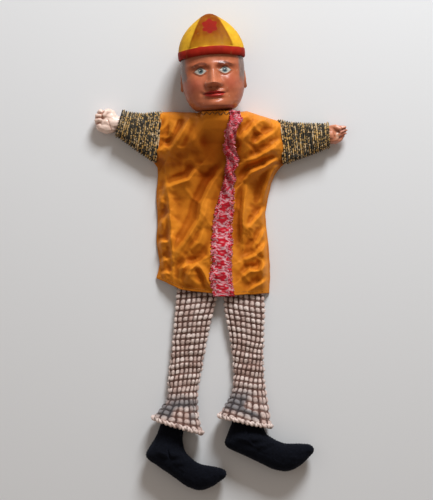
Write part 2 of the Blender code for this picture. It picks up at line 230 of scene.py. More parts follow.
def grid_faces(rows, columns, wrap_rows=False, wrap_columns=False):
    """Corner numbers of the quads between the points of a grid."""
    r = np.arange(rows if wrap_rows else rows - 1)
    c = np.arange(columns if wrap_columns else columns - 1)
    r, c = np.meshgrid(r, c, indexing="ij")
    r, c = r.ravel(), c.ravel()
    r2, c2 = (r + 1) % rows, (c + 1) % columns
    return np.stack([r * columns + c, r * columns + c2, r2 * columns + c2, r2 * columns + c], 1)


def mesh_piece(name, points, faces, surface, colours=None, solid=None):
    """A smooth object from points in millimetres, with the faces' corners as lists."""
    mesh = bpy.data.meshes.new(name)
    faces = faces if isinstance(faces, list) else faces.tolist()
    mesh.from_pydata((np.asarray(points).reshape(-1, 3) * MM).tolist(), [], faces)
    mesh.validate()
    if colours is not None:
        paint_mesh(mesh, colours)
    mesh.shade_smooth()
    made = link(name, mesh)
    made.data.materials.append(surface)
    if solid:
        wall = made.modifiers.new("wall", "SOLIDIFY")
        wall.thickness = solid * MM
        wall.offset = -1.0
        apply_modifiers(made)
    return made


def vertex_data(mesh, key):
    """The places (co) or normals of a mesh's vertices, one row for each."""
    values = np.zeros(len(mesh.vertices) * 3)
    mesh.vertices.foreach_get(key, values)
    return values.reshape(-1, 3)


def melted(target, voxel, rounds):
    """Joins overlapping shells into one skin by a voxel remesh, and smooths it."""
    melt = target.modifiers.new("melt", "REMESH")
    melt.mode = "VOXEL"
    melt.voxel_size = voxel
    soften = target.modifiers.new("soften", "SMOOTH")
    soften.factor = 0.5
    soften.iterations = rounds
    apply_modifiers(target)


def apply_modifiers(target):
    depsgraph = bpy.context.evaluated_depsgraph_get()
    final = bpy.data.meshes.new_from_object(target.evaluated_get(depsgraph))
    target.modifiers.clear()
    old = target.data
    target.data = final
    bpy.data.meshes.remove(old)


def tube_points(centres, across, up, sides, power=1.0):
    """Rings of a limb: arrays of centres and half axes, one row for each ring."""
    turn = full_turn(sides)
    c = np.sign(np.cos(turn)) * np.abs(np.cos(turn)) ** power
    s = np.sign(np.sin(turn)) * np.abs(np.sin(turn)) ** power
    return centres[:, None] + across[:, None] * c[None, :, None] + up[:, None] * s[None, :, None]


def grid_normals(points):
    """A unit normal at each point of the rings of a tube."""
    along = np.roll(points, -1, 1) - np.roll(points, 1, 1)
    normal = np.cross(along, np.gradient(points, axis=0))
    return normal / np.maximum(np.linalg.norm(normal, axis=-1, keepdims=True), 1e-9)


# ---- materials -----------------------------------------------------------------------


def node_of(tree, kind, **values):
    made = tree.nodes.new(kind)
    for key, value in values.items():
        if key in made.inputs:
            made.inputs[key].default_value = value
        else:
            setattr(made, key, value)
    return made


def surface(name, colour=None, roughness=0.5, rough_spread=0.08, specular=0.5, sheen=0.0,
            sheen_roughness=0.5, sheen_tint=(1, 1, 1), coat=0.0, coat_roughness=0.1,
            mottle=0.12, mottle_size=8.0, grain=(), stretch=(1, 1, 1)):
    """A material of one colour, or of the mesh's own paint, with fine detail from nodes.

    mottle darkens and lightens the colour in patches of mottle_size millimetres. grain holds
    (size in millimetres, strength, height in millimetres) for each layer of fine relief.
    """
    made = bpy.data.materials.new(name)
    made.use_nodes = True
    tree = made.node_tree
    shader = tree.nodes["Principled BSDF"]
    for socket, value in (
        ("Specular IOR Level", specular), ("Sheen Weight", sheen), ("Sheen Roughness", sheen_roughness),
        ("Sheen Tint", (*sheen_tint, 1)), ("Coat Weight", coat), ("Coat Roughness", coat_roughness),
    ):
        shader.inputs[socket].default_value = value
    scaled = node_of(tree, "ShaderNodeMapping", Scale=stretch)
    tree.links.new(tree.nodes.new("ShaderNodeTexCoord").outputs["Object"], scaled.inputs["Vector"])

    def noise_node(size, detail=3.0):
        texture = node_of(tree, "ShaderNodeTexNoise", Scale=1 / (size * MM), Detail=detail)
        tree.links.new(scaled.outputs["Vector"], texture.inputs["Vector"])
        return texture

    patches = noise_node(mottle_size)

    def patchy_range(middle, spread):
        made = node_of(tree, "ShaderNodeMapRange")
        ends = {"From Min": 0.3, "From Max": 0.7, "To Min": middle - spread, "To Max": middle + spread}
        for key, value in ends.items():
            made.inputs[key].default_value = value
        tree.links.new(patches.outputs["Fac"], made.inputs["Value"])
        return made

    tinted = node_of(tree, "ShaderNodeVectorMath", operation="SCALE")
    if colour is None:
        source = node_of(tree, "ShaderNodeAttribute", attribute_name=PAINT)
        tree.links.new(source.outputs["Color"], tinted.inputs[0])
    else:
        tinted.inputs[0].default_value = colour
    tree.links.new(patchy_range(1, mottle).outputs["Result"], tinted.inputs["Scale"])
    tree.links.new(tinted.outputs["Vector"], shader.inputs["Base Color"])
    tree.links.new(patchy_range(roughness, rough_spread).outputs["Result"], shader.inputs["Roughness"])

    previous = None
    for size, strength, height in grain:
        relief = node_of(tree, "ShaderNodeBump", Strength=strength, Distance=height * MM)
        tree.links.new(noise_node(size, 2.0).outputs["Fac"], relief.inputs["Height"])
        if previous:
            tree.links.new(previous.outputs["Normal"], relief.inputs["Normal"])
        previous = relief
    if previous:
        tree.links.new(previous.outputs["Normal"], shader.inputs["Normal"])
    return made


def woven(made, pitch, strength, height):
    """Adds the crossed ribs of a plain weave to a material's relief."""
    tree = made.node_tree
    shader = tree.nodes["Principled BSDF"]
    place = tree.nodes.new("ShaderNodeTexCoord")
    before = shader.inputs["Normal"].links[0].from_socket if shader.inputs["Normal"].links else None
    for direction in ("X", "Y"):
        ribs = node_of(tree, "ShaderNodeTexWave", Scale=math.pi / (10 * pitch * MM), Distortion=1.5)
        ribs.bands_direction = direction
        ribs.inputs["Detail Scale"].default_value = 2.0
        tree.links.new(place.outputs["Object"], ribs.inputs["Vector"])
        relief = node_of(tree, "ShaderNodeBump", Strength=strength, Distance=height * MM)
        tree.links.new(ribs.outputs["Fac"], relief.inputs["Height"])
        if before:
            tree.links.new(before, relief.inputs["Normal"])
        before = relief.outputs["Normal"]
    tree.links.new(before, shader.inputs["Normal"])
    return made


SATIN = woven(surface("mustard_satin", None, 0.5, 0.05, 0.22, 0.1, 0.35, (1.0, 0.55, 0.15),
                      mottle=0.07, mottle_size=16, grain=((2.6, 0.3, 0.22),)), 0.55, 0.25, 0.06)
SATIN.node_tree.nodes["Principled BSDF"].inputs["Specular Tint"].default_value = (1.0, 0.62, 0.2, 1)
SATIN_FACE = np.array((0.76, 0.258, 0.021))
# The next colour is the satin darkened as painted shade in its creases, on the chest, on its inside and in
# the neck ruffle's pleats; it is also the darker end of its random tone.
SATIN_SHADE_AND_TONE = np.array((0.27, 0.040, 0.002))
STITCH = surface("stitch_thread", (0.42, 0.17, 0.03), 0.75, mottle=0.2, mottle_size=3,
                 grain=((0.6, 0.5, 0.1),))
DARK_THREAD = surface("dark_thread", (0.05, 0.025, 0.015), 0.75, mottle=0.25, mottle_size=3,
                      grain=((0.5, 0.5, 0.1),))
FACE = surface("painted_flesh", None, 0.38, 0.06, 0.28, coat=0.16, coat_roughness=0.18, mottle=0.05,
               mottle_size=5, grain=((2.2, 0.22, 0.12), (7, 0.25, 0.3)))
CAP = surface("painted_cap", None, 0.58, 0.08, 0.04, coat=0.01, coat_roughness=0.25, mottle=0.06,
              mottle_size=4, grain=((1.8, 0.3, 0.12), (8, 0.3, 0.35)))
SCARF = surface("printed_cotton", None, 0.85, 0.05, 0.2, 0.3, 0.5, (1, 0.8, 0.85), mottle=0.14,
                mottle_size=1.2, grain=((0.8, 0.9, 0.35),))
KNIT = surface("black_gold_knit", None, 0.88, 0.05, 0.2, 0.35, 0.5, (0.9, 0.8, 0.6), mottle=0.22,
               mottle_size=1.5, grain=((0.7, 0.9, 0.4),))
HAND = surface("hand_paint", None, 0.36, 0.07, 0.45, coat=0.3, coat_roughness=0.25, mottle=0.06,
               mottle_size=4, grain=((1.5, 0.3, 0.12), (5, 0.3, 0.25)))
TROUSER = surface("spotted_knit", None, 0.9, 0.04, 0.15, 0.3, 0.5, (1, 0.9, 0.85), mottle=0.14,
                  mottle_size=1.4, grain=((0.7, 0.9, 0.35),))
FELT = surface("black_felt", (0.0022, 0.0026, 0.0052), 0.97, 0.02, 0.12, 0.05, 0.6, (0.25, 0.32, 0.55),
               mottle=0.45, mottle_size=1.8, grain=((0.6, 1.0, 0.5), (2.2, 0.8, 0.6)))
CARD = surface("grey_card", (0.42, 0.34, 0.24), 0.9, 0.04, 0.2, mottle=0.12, mottle_size=5,
               grain=((1.2, 0.5, 0.15),), stretch=(1, 0.3, 1))
SEAM = surface("shoe_thread", (0.008, 0.009, 0.014), 0.8, mottle=0.3, mottle_size=2.0,
               grain=((0.5, 0.5, 0.1),))
FRAY = surface("scarf_fringe", (0.72, 0.20, 0.24), 0.85, mottle=0.5, mottle_size=2.0,
               grain=((0.5, 0.5, 0.1),))
TAPE = woven(surface("cotton_tape", (0.62, 0.52, 0.38), 0.9, 0.04, 0.2, mottle=0.1, mottle_size=3,
                     grain=((0.8, 0.6, 0.2),)), 0.9, 0.6, 0.15)

# ---- head ------------------------------------------------------------------------------

TILT = math.atan2(-HEAD_AXIS[0], HEAD_AXIS[1])
FINGER_BORE = 11.0

# height above the neck pivot, half width, back and front from the neck's axis, squareness
HEAD_ROWS = (
    (13.2, 15.6, -15.0, 19.0, 1.0),
    (13.6, 18.0, -16.0, 24.5, 0.95),
    (14.8, 21.5, -18.5, 28.6, 0.9),
    (17.5, 25.0, -21.0, 30.8, 0.88),
    (22.0, 28.2, -23.5, 31.0, 0.88),
    (28.0, 31.0, -26.0, 30.6, 0.9),
    (36.0, 33.4, -28.2, 30.6, 0.92),
    (46.0, 34.6, -29.4, 30.6, 0.93),
    (56.0, 34.8, -29.8, 30.4, 0.93),
    (64.0, 34.6, -29.6, 31.2, 0.93),
    (76.0, 33.6, -28.6, 30.6, 0.93),
)
EYE_X, EYE_H = 13.4, 55.0
MOUTH_H = 30.5


def place_on_head(local):
    """Points given as (across, height, depth) on the head, moved to the tilted head."""
    c, s = math.cos(TILT), math.sin(TILT)
    x, h, z = local[..., 0], local[..., 1], local[..., 2]
    return xyz(NECK[0] + x * c - h * s, NECK[1] + x * s + h * c, NECK[2] + z)


def rounded(value, power):
    """A cosine or sine of a squarer or rounder outline."""
    return np.sign(value) * np.abs(value) ** power


def lens(x, h, cx, ch, half_wide, half_tall):
    """1 at the middle of an almond shape, 0 at its rim and less than 0 outside."""
    u = (x - cx) / half_wide
    return (1 - u * u) - np.abs(h - ch - 0.5) / half_tall * (1 + 0.25 * u * u)


# The face's forms: height, place across and up it, width and tallness. Negative heights are hollows.
SOCKETS_AND_BROW = (
    (-2.6, EYE_X, EYE_H + 0.6, 8.5, 5.0), (2.3, EYE_X + 0.5, 61.6, 10.0, 2.5), (1.0, 0, 63.5, 8.0, 4.0),
)
NOSE_AND_CHEEKS = (
    (2.6, 0, 42.0, 5.4, 4.2), (4.2, 6.3, 40.6, 3.1, 3.0), (-1.4, 3.2, 37.3, 1.9, 1.3),
    (2.4, 18.5, 42.5, 9.0, 8.0), (1.6, 0, MOUTH_H + 0.5, 15.0, 7.5), (-0.9, 0, 34.8, 1.6, 2.2),
)
CHIN = (
    (-1.1, 13.4, MOUTH_H + 0.2, 2.0, 2.2), (-1.2, 0, 24.8, 9.0, 1.9), (2.6, 0, 19.4, 10.5, 4.6),
)


def ridge_line(value, middle, width):
    """1 on a line, falling off to both sides."""
    return np.exp(-(((value - middle) / width) ** 2))


def face_relief(x, h):
    """How far the face stands out over the plain head, at each place across and up it."""
    a = np.abs(x)

    def forms(rows):
        return sum(height * bump(a, h, cx, ch, wide, tall) for height, cx, ch, wide, tall in rows)

    out = forms(SOCKETS_AND_BROW)
    ball = np.clip(lens(x, h, np.sign(x) * EYE_X, EYE_H - 0.4, 7.4, 5.4), 0, 1)
    lid = lens(x, h, np.sign(x) * EYE_X, EYE_H - 0.2, 7.8, 5.6)
    out += 2.5 * np.sqrt(ball) + 0.75 * ridge_line(lid, 0, 0.16) * (h > EYE_H - 2.5)
    ramp = np.clip((62.0 - h) / 20.5, 0, 1)
    bridge = (2.0 + 10.5 * ramp**1.15) * smooth(36.6, 42.0, h) * smooth(66.0, 58.0, h)
    out += bridge * np.exp(-((a / (3.4 + 2.0 * ramp)) ** 2.4))
    out += forms(NOSE_AND_CHEEKS)
    bow = 1.1 * ridge_line(a, 3.4, 2.6) - 0.3
    corner = smooth(13.2, 9.0, a)
    out += 1.7 * corner * ridge_line(h, MOUTH_H + 2.0 + 0.5 * bow, 1.7)
    out += 2.0 * smooth(11.5, 6.5, a) * ridge_line(h, MOUTH_H - 2.4, 1.9)
    out -= 1.3 * corner * ridge_line(h, MOUTH_H, 0.75)
    return out + forms(CHIN)


SKIN = np.array((0.38, 0.092, 0.036))
# A paler skin: random tone, the ears' colour and a painted highlight down the nose.
SKIN_PALE_AND_HIGHLIGHT = np.array((0.54, 0.18, 0.085))
# A darker skin: painted shade on the face and ears, and the lower lid line.
SKIN_SHADE_AND_LID_LINE = np.array((0.21, 0.038, 0.013))
LIP = np.array((0.42, 0.028, 0.018))
BROW = np.array((0.13, 0.032, 0.016))
GREY_HAIR = np.array((0.17, 0.145, 0.13))
EYE_WHITE = np.array((0.46, 0.42, 0.36))
IRIS = np.array((0.075, 0.12, 0.13))
INK = np.array((0.012, 0.009, 0.009))


def mix(base, colour, amount):
    """The base colour where amount is 0, and the other where it is 1."""
    amount = np.clip(amount, 0, 1)[..., None]
    return base * (1 - amount) + colour * amount


def layered(base, *layers):
    """Colours brushed over each other: pairs of a colour and how much of it there is."""
    for colour, amount in layers:
        base = mix(base, colour, amount)
    return base


def face_paint(x, h, front, local):
    """The colours brushed on the head, with painted shade round the eyes, nose and chin and on the lower
    sides of the face, and painted highlights down the nose and in each eye; front is 1 on the face and 0
    behind the ears.
    """
    a = np.abs(x)
    patchy = cloudy(local, 9, 3)
    rosy = np.array((0.52, 0.11, 0.062))
    colour = layered(
        SKIN,
        (SKIN_PALE_AND_HIGHLIGHT, 0.35 + 0.5 * patchy),
        # Painted highlight down the middle of the face.
        (SKIN_PALE_AND_HIGHLIGHT, front * 0.55 * bump(a, h, 0, 45, 5, 16)),
        (rosy, front * 0.6 * bump(a, h, 19, 41, 8.5, 7.5)),
        # Painted shade under the brows, beside the nose, in the nostrils, under the chin and on the sides of
        # the lower face.
        (SKIN_SHADE_AND_LID_LINE, front * 0.5 * bump(a, h, EYE_X, EYE_H + 4.2, 9, 3.0)),
        (SKIN_SHADE_AND_LID_LINE, front * 0.45 * bump(a, h, 9.8, 39.5, 2.0, 4.0)),
        (SKIN_SHADE_AND_LID_LINE, front * 0.55 * bump(a, h, 3.2, 37.2, 2.0, 1.2)),
        (SKIN_SHADE_AND_LID_LINE, 0.5 * smooth(21.0, 13.5, h)),
        (SKIN_SHADE_AND_LID_LINE, 0.35 * smooth(27.0, 34.0, a) * smooth(60, 40, h)),
    )

    arch = 62.3 + 1.6 * np.sin(np.clip((a - 6.0) / 16.0, 0, 1) * np.pi) - 0.10 * (a - 6.0)
    thick = 1.5 * smooth(4.8, 8.0, a) * smooth(23.5, 15.0, a) + 0.1
    hairs = 0.28 * noise(xyz(x * 2.2 + h, h * 0.8, local[..., 2]), 1.3, 5)
    brow = smooth(1.15, 0.7, np.abs(h - arch) / thick + hairs) * smooth(4.6, 5.6, a) * smooth(23.5, 22, a)

    eye = lens(x, h, np.sign(x) * EYE_X, EYE_H - 0.5, 6.6, 3.7)
    inside = smooth(0.0, 0.12, eye)
    radius = np.hypot(a - EYE_X + 0.2, h - EYE_H - 0.3)
    glint = np.hypot(x - np.sign(x) * EYE_X + 0.8, h - EYE_H - 1.3)
    colour = layered(
        colour,
        (BROW, front * 0.9 * brow),
        (INK, front * 0.8 * smooth(-0.34, -0.02, eye) * (h > EYE_H - 0.6)),
        (SKIN_SHADE_AND_LID_LINE, front * 0.8 * smooth(-0.26, -0.05, eye) * (h <= EYE_H - 0.6)),
        (EYE_WHITE, front * smooth(0.0, 0.14, eye)),
        (IRIS, front * inside * smooth(3.0, 2.6, radius)),
        (INK, front * inside * smooth(1.55, 1.25, radius)),
        (np.array((0.8, 0.8, 0.78)), front * inside * smooth(0.75, 0.4, glint)),
    )

    bow = 0.9 * ridge_line(a, 3.4, 2.6)
    upper = smooth(0.35, -0.15, h - MOUTH_H - (2.4 + bow) * (1 - (a / 12.4) ** 2)) * (h > MOUTH_H)
    underlip = 4.0 * np.sqrt(np.clip(1 - (a / 11.2) ** 2, 0, 1))
    lower = smooth(-0.35, 0.15, h - MOUTH_H + underlip) * (h <= MOUTH_H)
    lips = np.where(h > MOUTH_H, upper, lower) * smooth(12.6, 11.6, a)
    seam = smooth(0.7, 0.25, np.abs(h - MOUTH_H)) * smooth(13.2, 11.8, a)

    edge = 45.5 + 2.0 * noise(local, 4.0, 9)
    sideburn = smooth(edge - 3.5, edge + 3.5, h) * smooth(27.0, 30.5, a + 1.2 * noise(local, 2.5, 4))
    back = smooth(6.0, -4.0, local[..., 2]) * smooth(30.0, 36.0, h + 2 * noise(local, 5, 8))
    streaks = 0.75 + 0.4 * noise(xyz(x * 1.4, h * 0.35, local[..., 2] * 1.4), 1.6, 6)
    worn = smooth(0.62, 0.72, noise(local, 3.0, 12)) * smooth(0.35, 0.6, noise(local, 1.2, 13))
    return layered(
        colour,
        (LIP, front * lips),
        (LIP * 0.3, front * 0.85 * seam),
        (GREY_HAIR * streaks[..., None], 0.8 * np.maximum(sideburn, back)),
        (np.array((0.60, 0.44, 0.30)), 0.5 * worn),
    )


def build_head():
    fine = 300
    heights = np.concatenate([np.linspace(13.2, 20, 22), np.linspace(20.4, 68, 130), np.linspace(69, 76, 6)])
    half, back, front, square = table(HEAD_ROWS, heights)
    turn = full_turn(fine)
    turn = turn - 0.28 * np.sin(2 * turn)
    c, s = np.cos(turn), np.sin(turn)
    power = square[:, None]
    depth = np.where(s > 0, front[:, None], -back[:, None])
    x = half[:, None] * rounded(c, power)
    z = depth * rounded(s, power)
    h = np.broadcast_to(heights[:, None], x.shape)
    facing = smooth(0.12, 0.5, s)[None, :] * smooth(13.4, 15.5, h)
    z = z + facing * face_relief(x, h)
    local = xyz(x, h, z)
    local = local + 0.22 * cloudy(local, 5.0, 21)[..., None] * np.array((0.6, 0.0, 1.0))
    colours = face_paint(x, h, smooth(0.05, 0.3, s)[None, :] * np.ones_like(h), local)

    neck = (
        (30, FINGER_BORE), (0.3, FINGER_BORE), (0.0, 11.6), (0.0, 15.0), (0.5, 15.5), (3.0, 15.5),
        (4.5, 13.4), (10.5, 13.4), (12.2, 15.4),
    )
    rings = np.array([xyz(r * c, float(y), r * s) for y, r in neck])
    local = np.concatenate([rings, local])
    bare = np.broadcast_to(np.array((0.42, 0.27, 0.16)), rings.shape)
    colours = np.concatenate([bare, colours])
    faces = grid_faces(len(local), fine, wrap_columns=True)
    head = mesh_piece("carved_head", place_on_head(local), faces[:, ::-1], FACE, colours)
    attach(head, "head")
    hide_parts("head")

    for side, name in ((1, "left"), (-1, "right")):
        build_ear(side, name)


def build_ear(side, name):
    """A carved ear: a flat oval with a rolled rim, a hollow and a lobe."""
    rows, columns = 40, 72
    t = np.linspace(0.0, 1.0, rows)[:, None]
    turn = full_turn(columns)[None, :]
    radius = np.sin(t * np.pi / 2)
    across = radius * np.cos(turn)
    up = radius * np.sin(turn)
    rim = 1.3 * ridge_line(radius, 0.8, 0.13)
    hollow = -1.5 * ridge_line(radius, 0.42, 0.26) * (up > -0.55)
    inner = 0.8 * bump(across, up, -0.05, 0.0, 0.22, 0.5)
    dome = np.sqrt(np.clip(1 - radius**2, 0, 1))
    outward = 2.2 * dome + rim + hollow + inner
    depth = 6.6 * across * (1 - 0.28 * smooth(0.1, -1.0, up))
    height = 10.6 * up
    front = xyz(side * (33.2 + outward - 0.05 * height), 46.5 + height, -1.5 - depth)
    rear = front.copy()
    rear[..., 0] = side * (33.4 - 0.05 * height - 0.8 * dome)
    local = np.concatenate([rear, front[::-1]])
    shade = np.concatenate([0 * hollow + 0.2, (np.clip(-hollow, 0, 1.5) / 1.5)[::-1]])
    colours = mix(SKIN_PALE_AND_HIGHLIGHT, SKIN_SHADE_AND_LID_LINE, 0.1 + 0.5 * shade)
    faces = grid_faces(len(local), columns, wrap_columns=True)
    if side < 0:
        faces = faces[:, ::-1]
    ear = mesh_piece(f"carved_ear_{name}", place_on_head(local), faces, FACE, colours)
    weld(ear)
    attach(ear, "head")


def weld(target, distance=0.02):
    """Joins the points that lie on each other, such as at a dome's middle."""
    made = target.modifiers.new("weld", "WELD")
    made.merge_threshold = distance * MM
    apply_modifiers(target)


# height, half width, back, front: the cap's rows over the head
CAP_ROWS = (
    (72.5, 34.0, -28.8, 31.0),
    (70.4, 34.4, -29.2, 31.6),
    (70.0, 35.6, -29.9, 32.6),
    (70.6, 36.4, -30.0, 33.6),
    (74.5, 36.7, -29.9, 34.0),
    (78.6, 36.6, -29.7, 33.8),
    (79.3, 36.1, -29.3, 33.2),
    (80.0, 35.9, -29.1, 32.9),
    (84.0, 35.3, -28.6, 31.8),
    (88.5, 34.0, -27.6, 30.2),
    (93.0, 32.1, -26.1, 28.4),
    (97.5, 29.6, -24.2, 26.4),
    (102.0, 26.2, -21.6, 24.0),
    (106.5, 22.0, -18.2, 21.0),
    (110.5, 17.4, -14.4, 17.4),
    (114.0, 12.6, -10.4, 13.2),
    (117.0, 8.0, -6.6, 9.0),
    (119.0, 4.2, -3.4, 5.4),
    (119.8, 1.2, -1.0, 2.6),
    (119.9, 0.1, 0.7, 0.9),
)
BAND_TOP = 79.2
YELLOW = np.array((0.70, 0.38, 0.022))
# Darker ochre: random tone on the cap, and the painted shade of its front facet.
OCHRE_TONE_AND_SHADE = np.array((0.20, 0.040, 0.001))
RED = np.array((0.30, 0.016, 0.008))


def build_cap():
    fine = 220
    keys = np.array([row[0] for row in CAP_ROWS])
    index = np.concatenate([np.arange(0, 8), np.linspace(8, len(keys) - 1, 110)])
    columns = [np.interp(index, np.arange(len(keys)), [row[k] for row in CAP_ROWS]) for k in range(4)]
    for k in range(4):
        middle = columns[k][9:-3].copy()
        columns[k][9:-3] = (columns[k][8:-4] + middle + columns[k][10:-2]) / 3
    heights, half, back, front = columns
    turn = full_turn(fine)
    c, s = np.cos(turn), np.sin(turn)
    x = half[:, None] * rounded(c, 0.92)
    z = ((front + back) / 2)[:, None] + ((front - back) / 2)[:, None] * rounded(s, 0.92)
    h = np.broadcast_to(heights[:, None], x.shape)
    over = smooth(BAND_TOP, BAND_TOP + 1.0, h)
    edge = 21.5 * np.clip((122.0 - h) / 40.0, 0, 1) ** 0.62 + 1.5
    crease = ridge_line(np.abs(x), edge, 2.6) * (s > 0) * over
    panel = smooth(edge + 0.8, edge - 0.8, np.abs(x)) * (s > 0) * over
    flat = front[:, None] - 1.8
    z = np.where(panel > 0.5, z * 0.45 + np.minimum(z, flat) * 0.55, z)
    z = z + 0.9 * crease
    x = x * (1 + 0.012 * crease)
    local = xyz(x, h, z)
    local = local + 0.2 * cloudy(local, 6.0, 31)[..., None] * np.array((0.5, 0.0, 1.0))
    bow = 2.6 * np.clip(s, 0, 1) * np.clip(1 - (x / 38) ** 2, 0, 1) * smooth(102, 84, h)
    local[..., 1] += bow

    # Streaks across the front facet's painted shade.
    brushed = 0.5 + 0.35 * noise(xyz(x * 0.5, h * 0.14, z * 0.5), 1.6, 44)
    # How the facet's painted shade grows stronger higher up.
    panel_shade_rise = 0.74 + 0.26 * smooth(82, 96, h + 3.0 * noise(local, 8.0, 45))
    # A darker line along the facet's edge, part of its painted shade.
    outline = smooth(1.6, 0.2, np.abs(np.abs(x) - edge)) * (s > 0) * over
    middle_h = 104.0
    dot = np.hypot(x, (h - middle_h) * 0.95) + 0.35 * noise(local, 2.0, 47)
    petals = 8.0 + 1.0 * np.cos(6 * np.arctan2(x, h - middle_h))
    line = BAND_TOP + 0.35 * noise(xyz(x, 0, z), 6.0, 48)
    chips = smooth(0.55, 0.68, noise(local, 2.2, 51)) * smooth(0.2, 0.5, noise(local, 9.0, 52))
    # Painted shade: the flattened front facet is darker ochre; the other ochre layers are random tone and a
    # darker tip.
    colours = layered(
        YELLOW,
        (OCHRE_TONE_AND_SHADE, 0.10 + 0.25 * cloudy(local, 7.0, 41)),
        (OCHRE_TONE_AND_SHADE, panel * (0.82 + 0.25 * brushed) * panel_shade_rise),
        (OCHRE_TONE_AND_SHADE, 0.35 * smooth(108, 119, h)),
        (OCHRE_TONE_AND_SHADE * 0.7, 0.35 * outline),
        (RED * 0.8, (s > 0) * smooth(petals + 0.4, petals - 0.4, dot)),
        (RED * (1 + 0.25 * noise(local, 5.0, 49))[..., None], smooth(line + 0.25, line - 0.25, h)),
        (np.array((0.22, 0.10, 0.03)), 0.6 * chips),
    )
    faces = grid_faces(len(local), fine, wrap_columns=True)
    cap = mesh_piece("painted_cap", place_on_head(local), faces[:, ::-1], CAP, colours)
    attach(cap, "head")
    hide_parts("cap_band", "cap_crown")


build_head()
build_cap()
tube = frame["nodes"]["finger_tube"]
tube.data.materials.clear()
tube.data.materials.append(CARD)

# ---- tunic -----------------------------------------------------------------------------

SHEET = 1.1  # the satin's thickness
NECKLINE_Y = 154.0
SLEEVE_LOW = 99.0
# y, right edge x, left edge x
SIDES = (
    (-46, -70.5, 53.4), (-36, -71.0, 53.8), (-27, -71.6, 54.4), (-13, -67.6, 54.0), (3, -69.8, 52.6),
    (13, -71.4, 52.0), (22, -71.0, 50.8), (31, -70.0, 49.8), (44, -70.6, 49.2), (61, -71.8, 52.2),
    (75, -70.8, 55.2), (85, -70.0, 59.0), (91, -69.8, 62.6), (95, -70.4, 66.0), (99, -73.6, 70.6),
    (106, -73.2, 70.4), (120, -71.4, 68.8), (135, -69.2, 66.6), (145, -67.6, 65.0), (156, -66.0, 64.0),
)
# x, the hem's y and the shoulder line's y
ENDS = (
    (-74, -26.5, 155.4), (-66, -30.5, 155.2), (-58, -33.8, 155.6), (-52, -36.2, 155.6), (-45, -39.6, 155.2),
    (-34, -41.6, 155.0), (-26, -42.6, 154.2), (-18, -43.6, 153.6), (-6, -44.4, NECKLINE_Y),
    (8, -45.6, NECKLINE_Y), (16, -46.0, 154.4), (22, -45.8, 155.6), (28, -45.6, 156.4),
    (40, -45.2, 152.6), (52, -44.8, 148.6), (66, -44.6, 144.6),
)
# y, height of the middle of the front over the table, how square its cross-section is
RISE = (
    (-46, 15.0, 5.0), (-20, 14.0, 4.0), (60, 16.0, 3.0), (84, 19.0, 2.8), (100, 27.0, 2.6), (120, 37.0, 2.4),
    (135, 47.0, 2.2), (144, 51.5, 2.1), (156, 53.5, 2.0),
)
# Each fold: its path, height and width in millimetres, and how deep the hollow on its left is
FOLDS = (
    (((-58, 106), (-46, 126), (-33, 149)), 7.0, 3.6, 0.9),
    (((-34, 112), (-28, 132), (-22, 150)), 2.2, 4.4, 0.6),
    (((-51, -10), (-45, 4), (-34, 20), (-25, 36), (-21, 54), (-10, 76), (4, 94)), 6.4, 4.0, 0.8),
    (((-24, 26), (-17, 44), (-14, 60)), 2.8, 3.0, 0.7),
    (((-53, -30), (-54, 0), (-55, 26), (-57, 56), (-61, 84)), 3.4, 2.6, 0.8),
    (((-60, 72), (-48, 76), (-36, 80), (-26, 92)), 5.0, 3.4, 0.9),
    (((-70, 50), (-64, 62), (-60, 78)), 3.0, 3.0, 0.7),
    (((-71, 26), (-64, 34), (-57, 44)), 3.4, 2.8, 0.8),
    (((-71, 6), (-65, 12), (-58, 12), (-54, 20)), 4.4, 2.6, 0.8),
    (((-69, -14), (-62, -8), (-56, -6)), 3.6, 2.6, 0.8),
    (((-66, -24), (-60, -22), (-56, -24)), 2.6, 2.4, 0.7),
    (((-40, -34), (-33, -18), (-25, -11)), 4.6, 2.6, 0.9),
    (((-12, -38), (-19, -22), (-25, -11)), 4.4, 2.6, 0.9),
    (((-25, -11), (-14, -4), (-9, 10)), 3.2, 3.0, 0.7),
    (((-48, -20), (-38, -14), (-25, -11)), 3.0, 2.6, 0.7),
    (((-46, -36), (-44, -22), (-38, -6)), 2.4, 2.6, 0.6),
    (((-34, 2), (-24, 12), (-18, 28)), 3.0, 3.0, 0.7),
    (((24, 78), (34, 88), (48, 94), (64, 104)), 7.4, 3.4, 0.9),
    (((44, 52), (48, 68), (54, 84), (62, 98)), 4.6, 3.2, 0.9),
    (((27, 100), (40, 104), (54, 112), (68, 124)), 4.6, 3.4, 0.8),
    (((34, 116), (46, 124), (58, 132), (66, 142)), 3.8, 3.4, 0.8),
    (((24, 122), (32, 134), (42, 144), (54, 148)), 5.4, 3.4, 0.9),
    (((21, 104), (24, 128), (28, 150)), 2.6, 3.4, 0.7),
    (((24, 8), (24, 38), (26, 60), (29, 78)), 5.0, 3.0, 0.9),
    (((30, 26), (40, 38), (52, 50)), 3.8, 3.2, 0.8),
    (((34, 2), (42, 12), (51, 30)), 4.0, 3.0, 0.8),
    (((24, -8), (36, -4), (46, 4), (52, 14)), 4.4, 3.0, 0.9),
    (((22, -28), (32, -20), (42, -20), (52, -10)), 4.6, 2.8, 0.9),
    (((30, -42), (40, -36), (51, -30)), 3.4, 2.6, 0.8),
    (((46, -38), (45, -18), (47, 4)), 3.0, 2.6, 0.7),
    (((-62, 122), (-54, 132), (-48, 146)), 3.2, 3.2, 0.8),
    (((-72, 108), (-62, 116), (-54, 116)), 3.4, 3.0, 0.8),
    (((-70, 132), (-62, 138), (-56, 148)), 2.6, 3.0, 0.8),
)
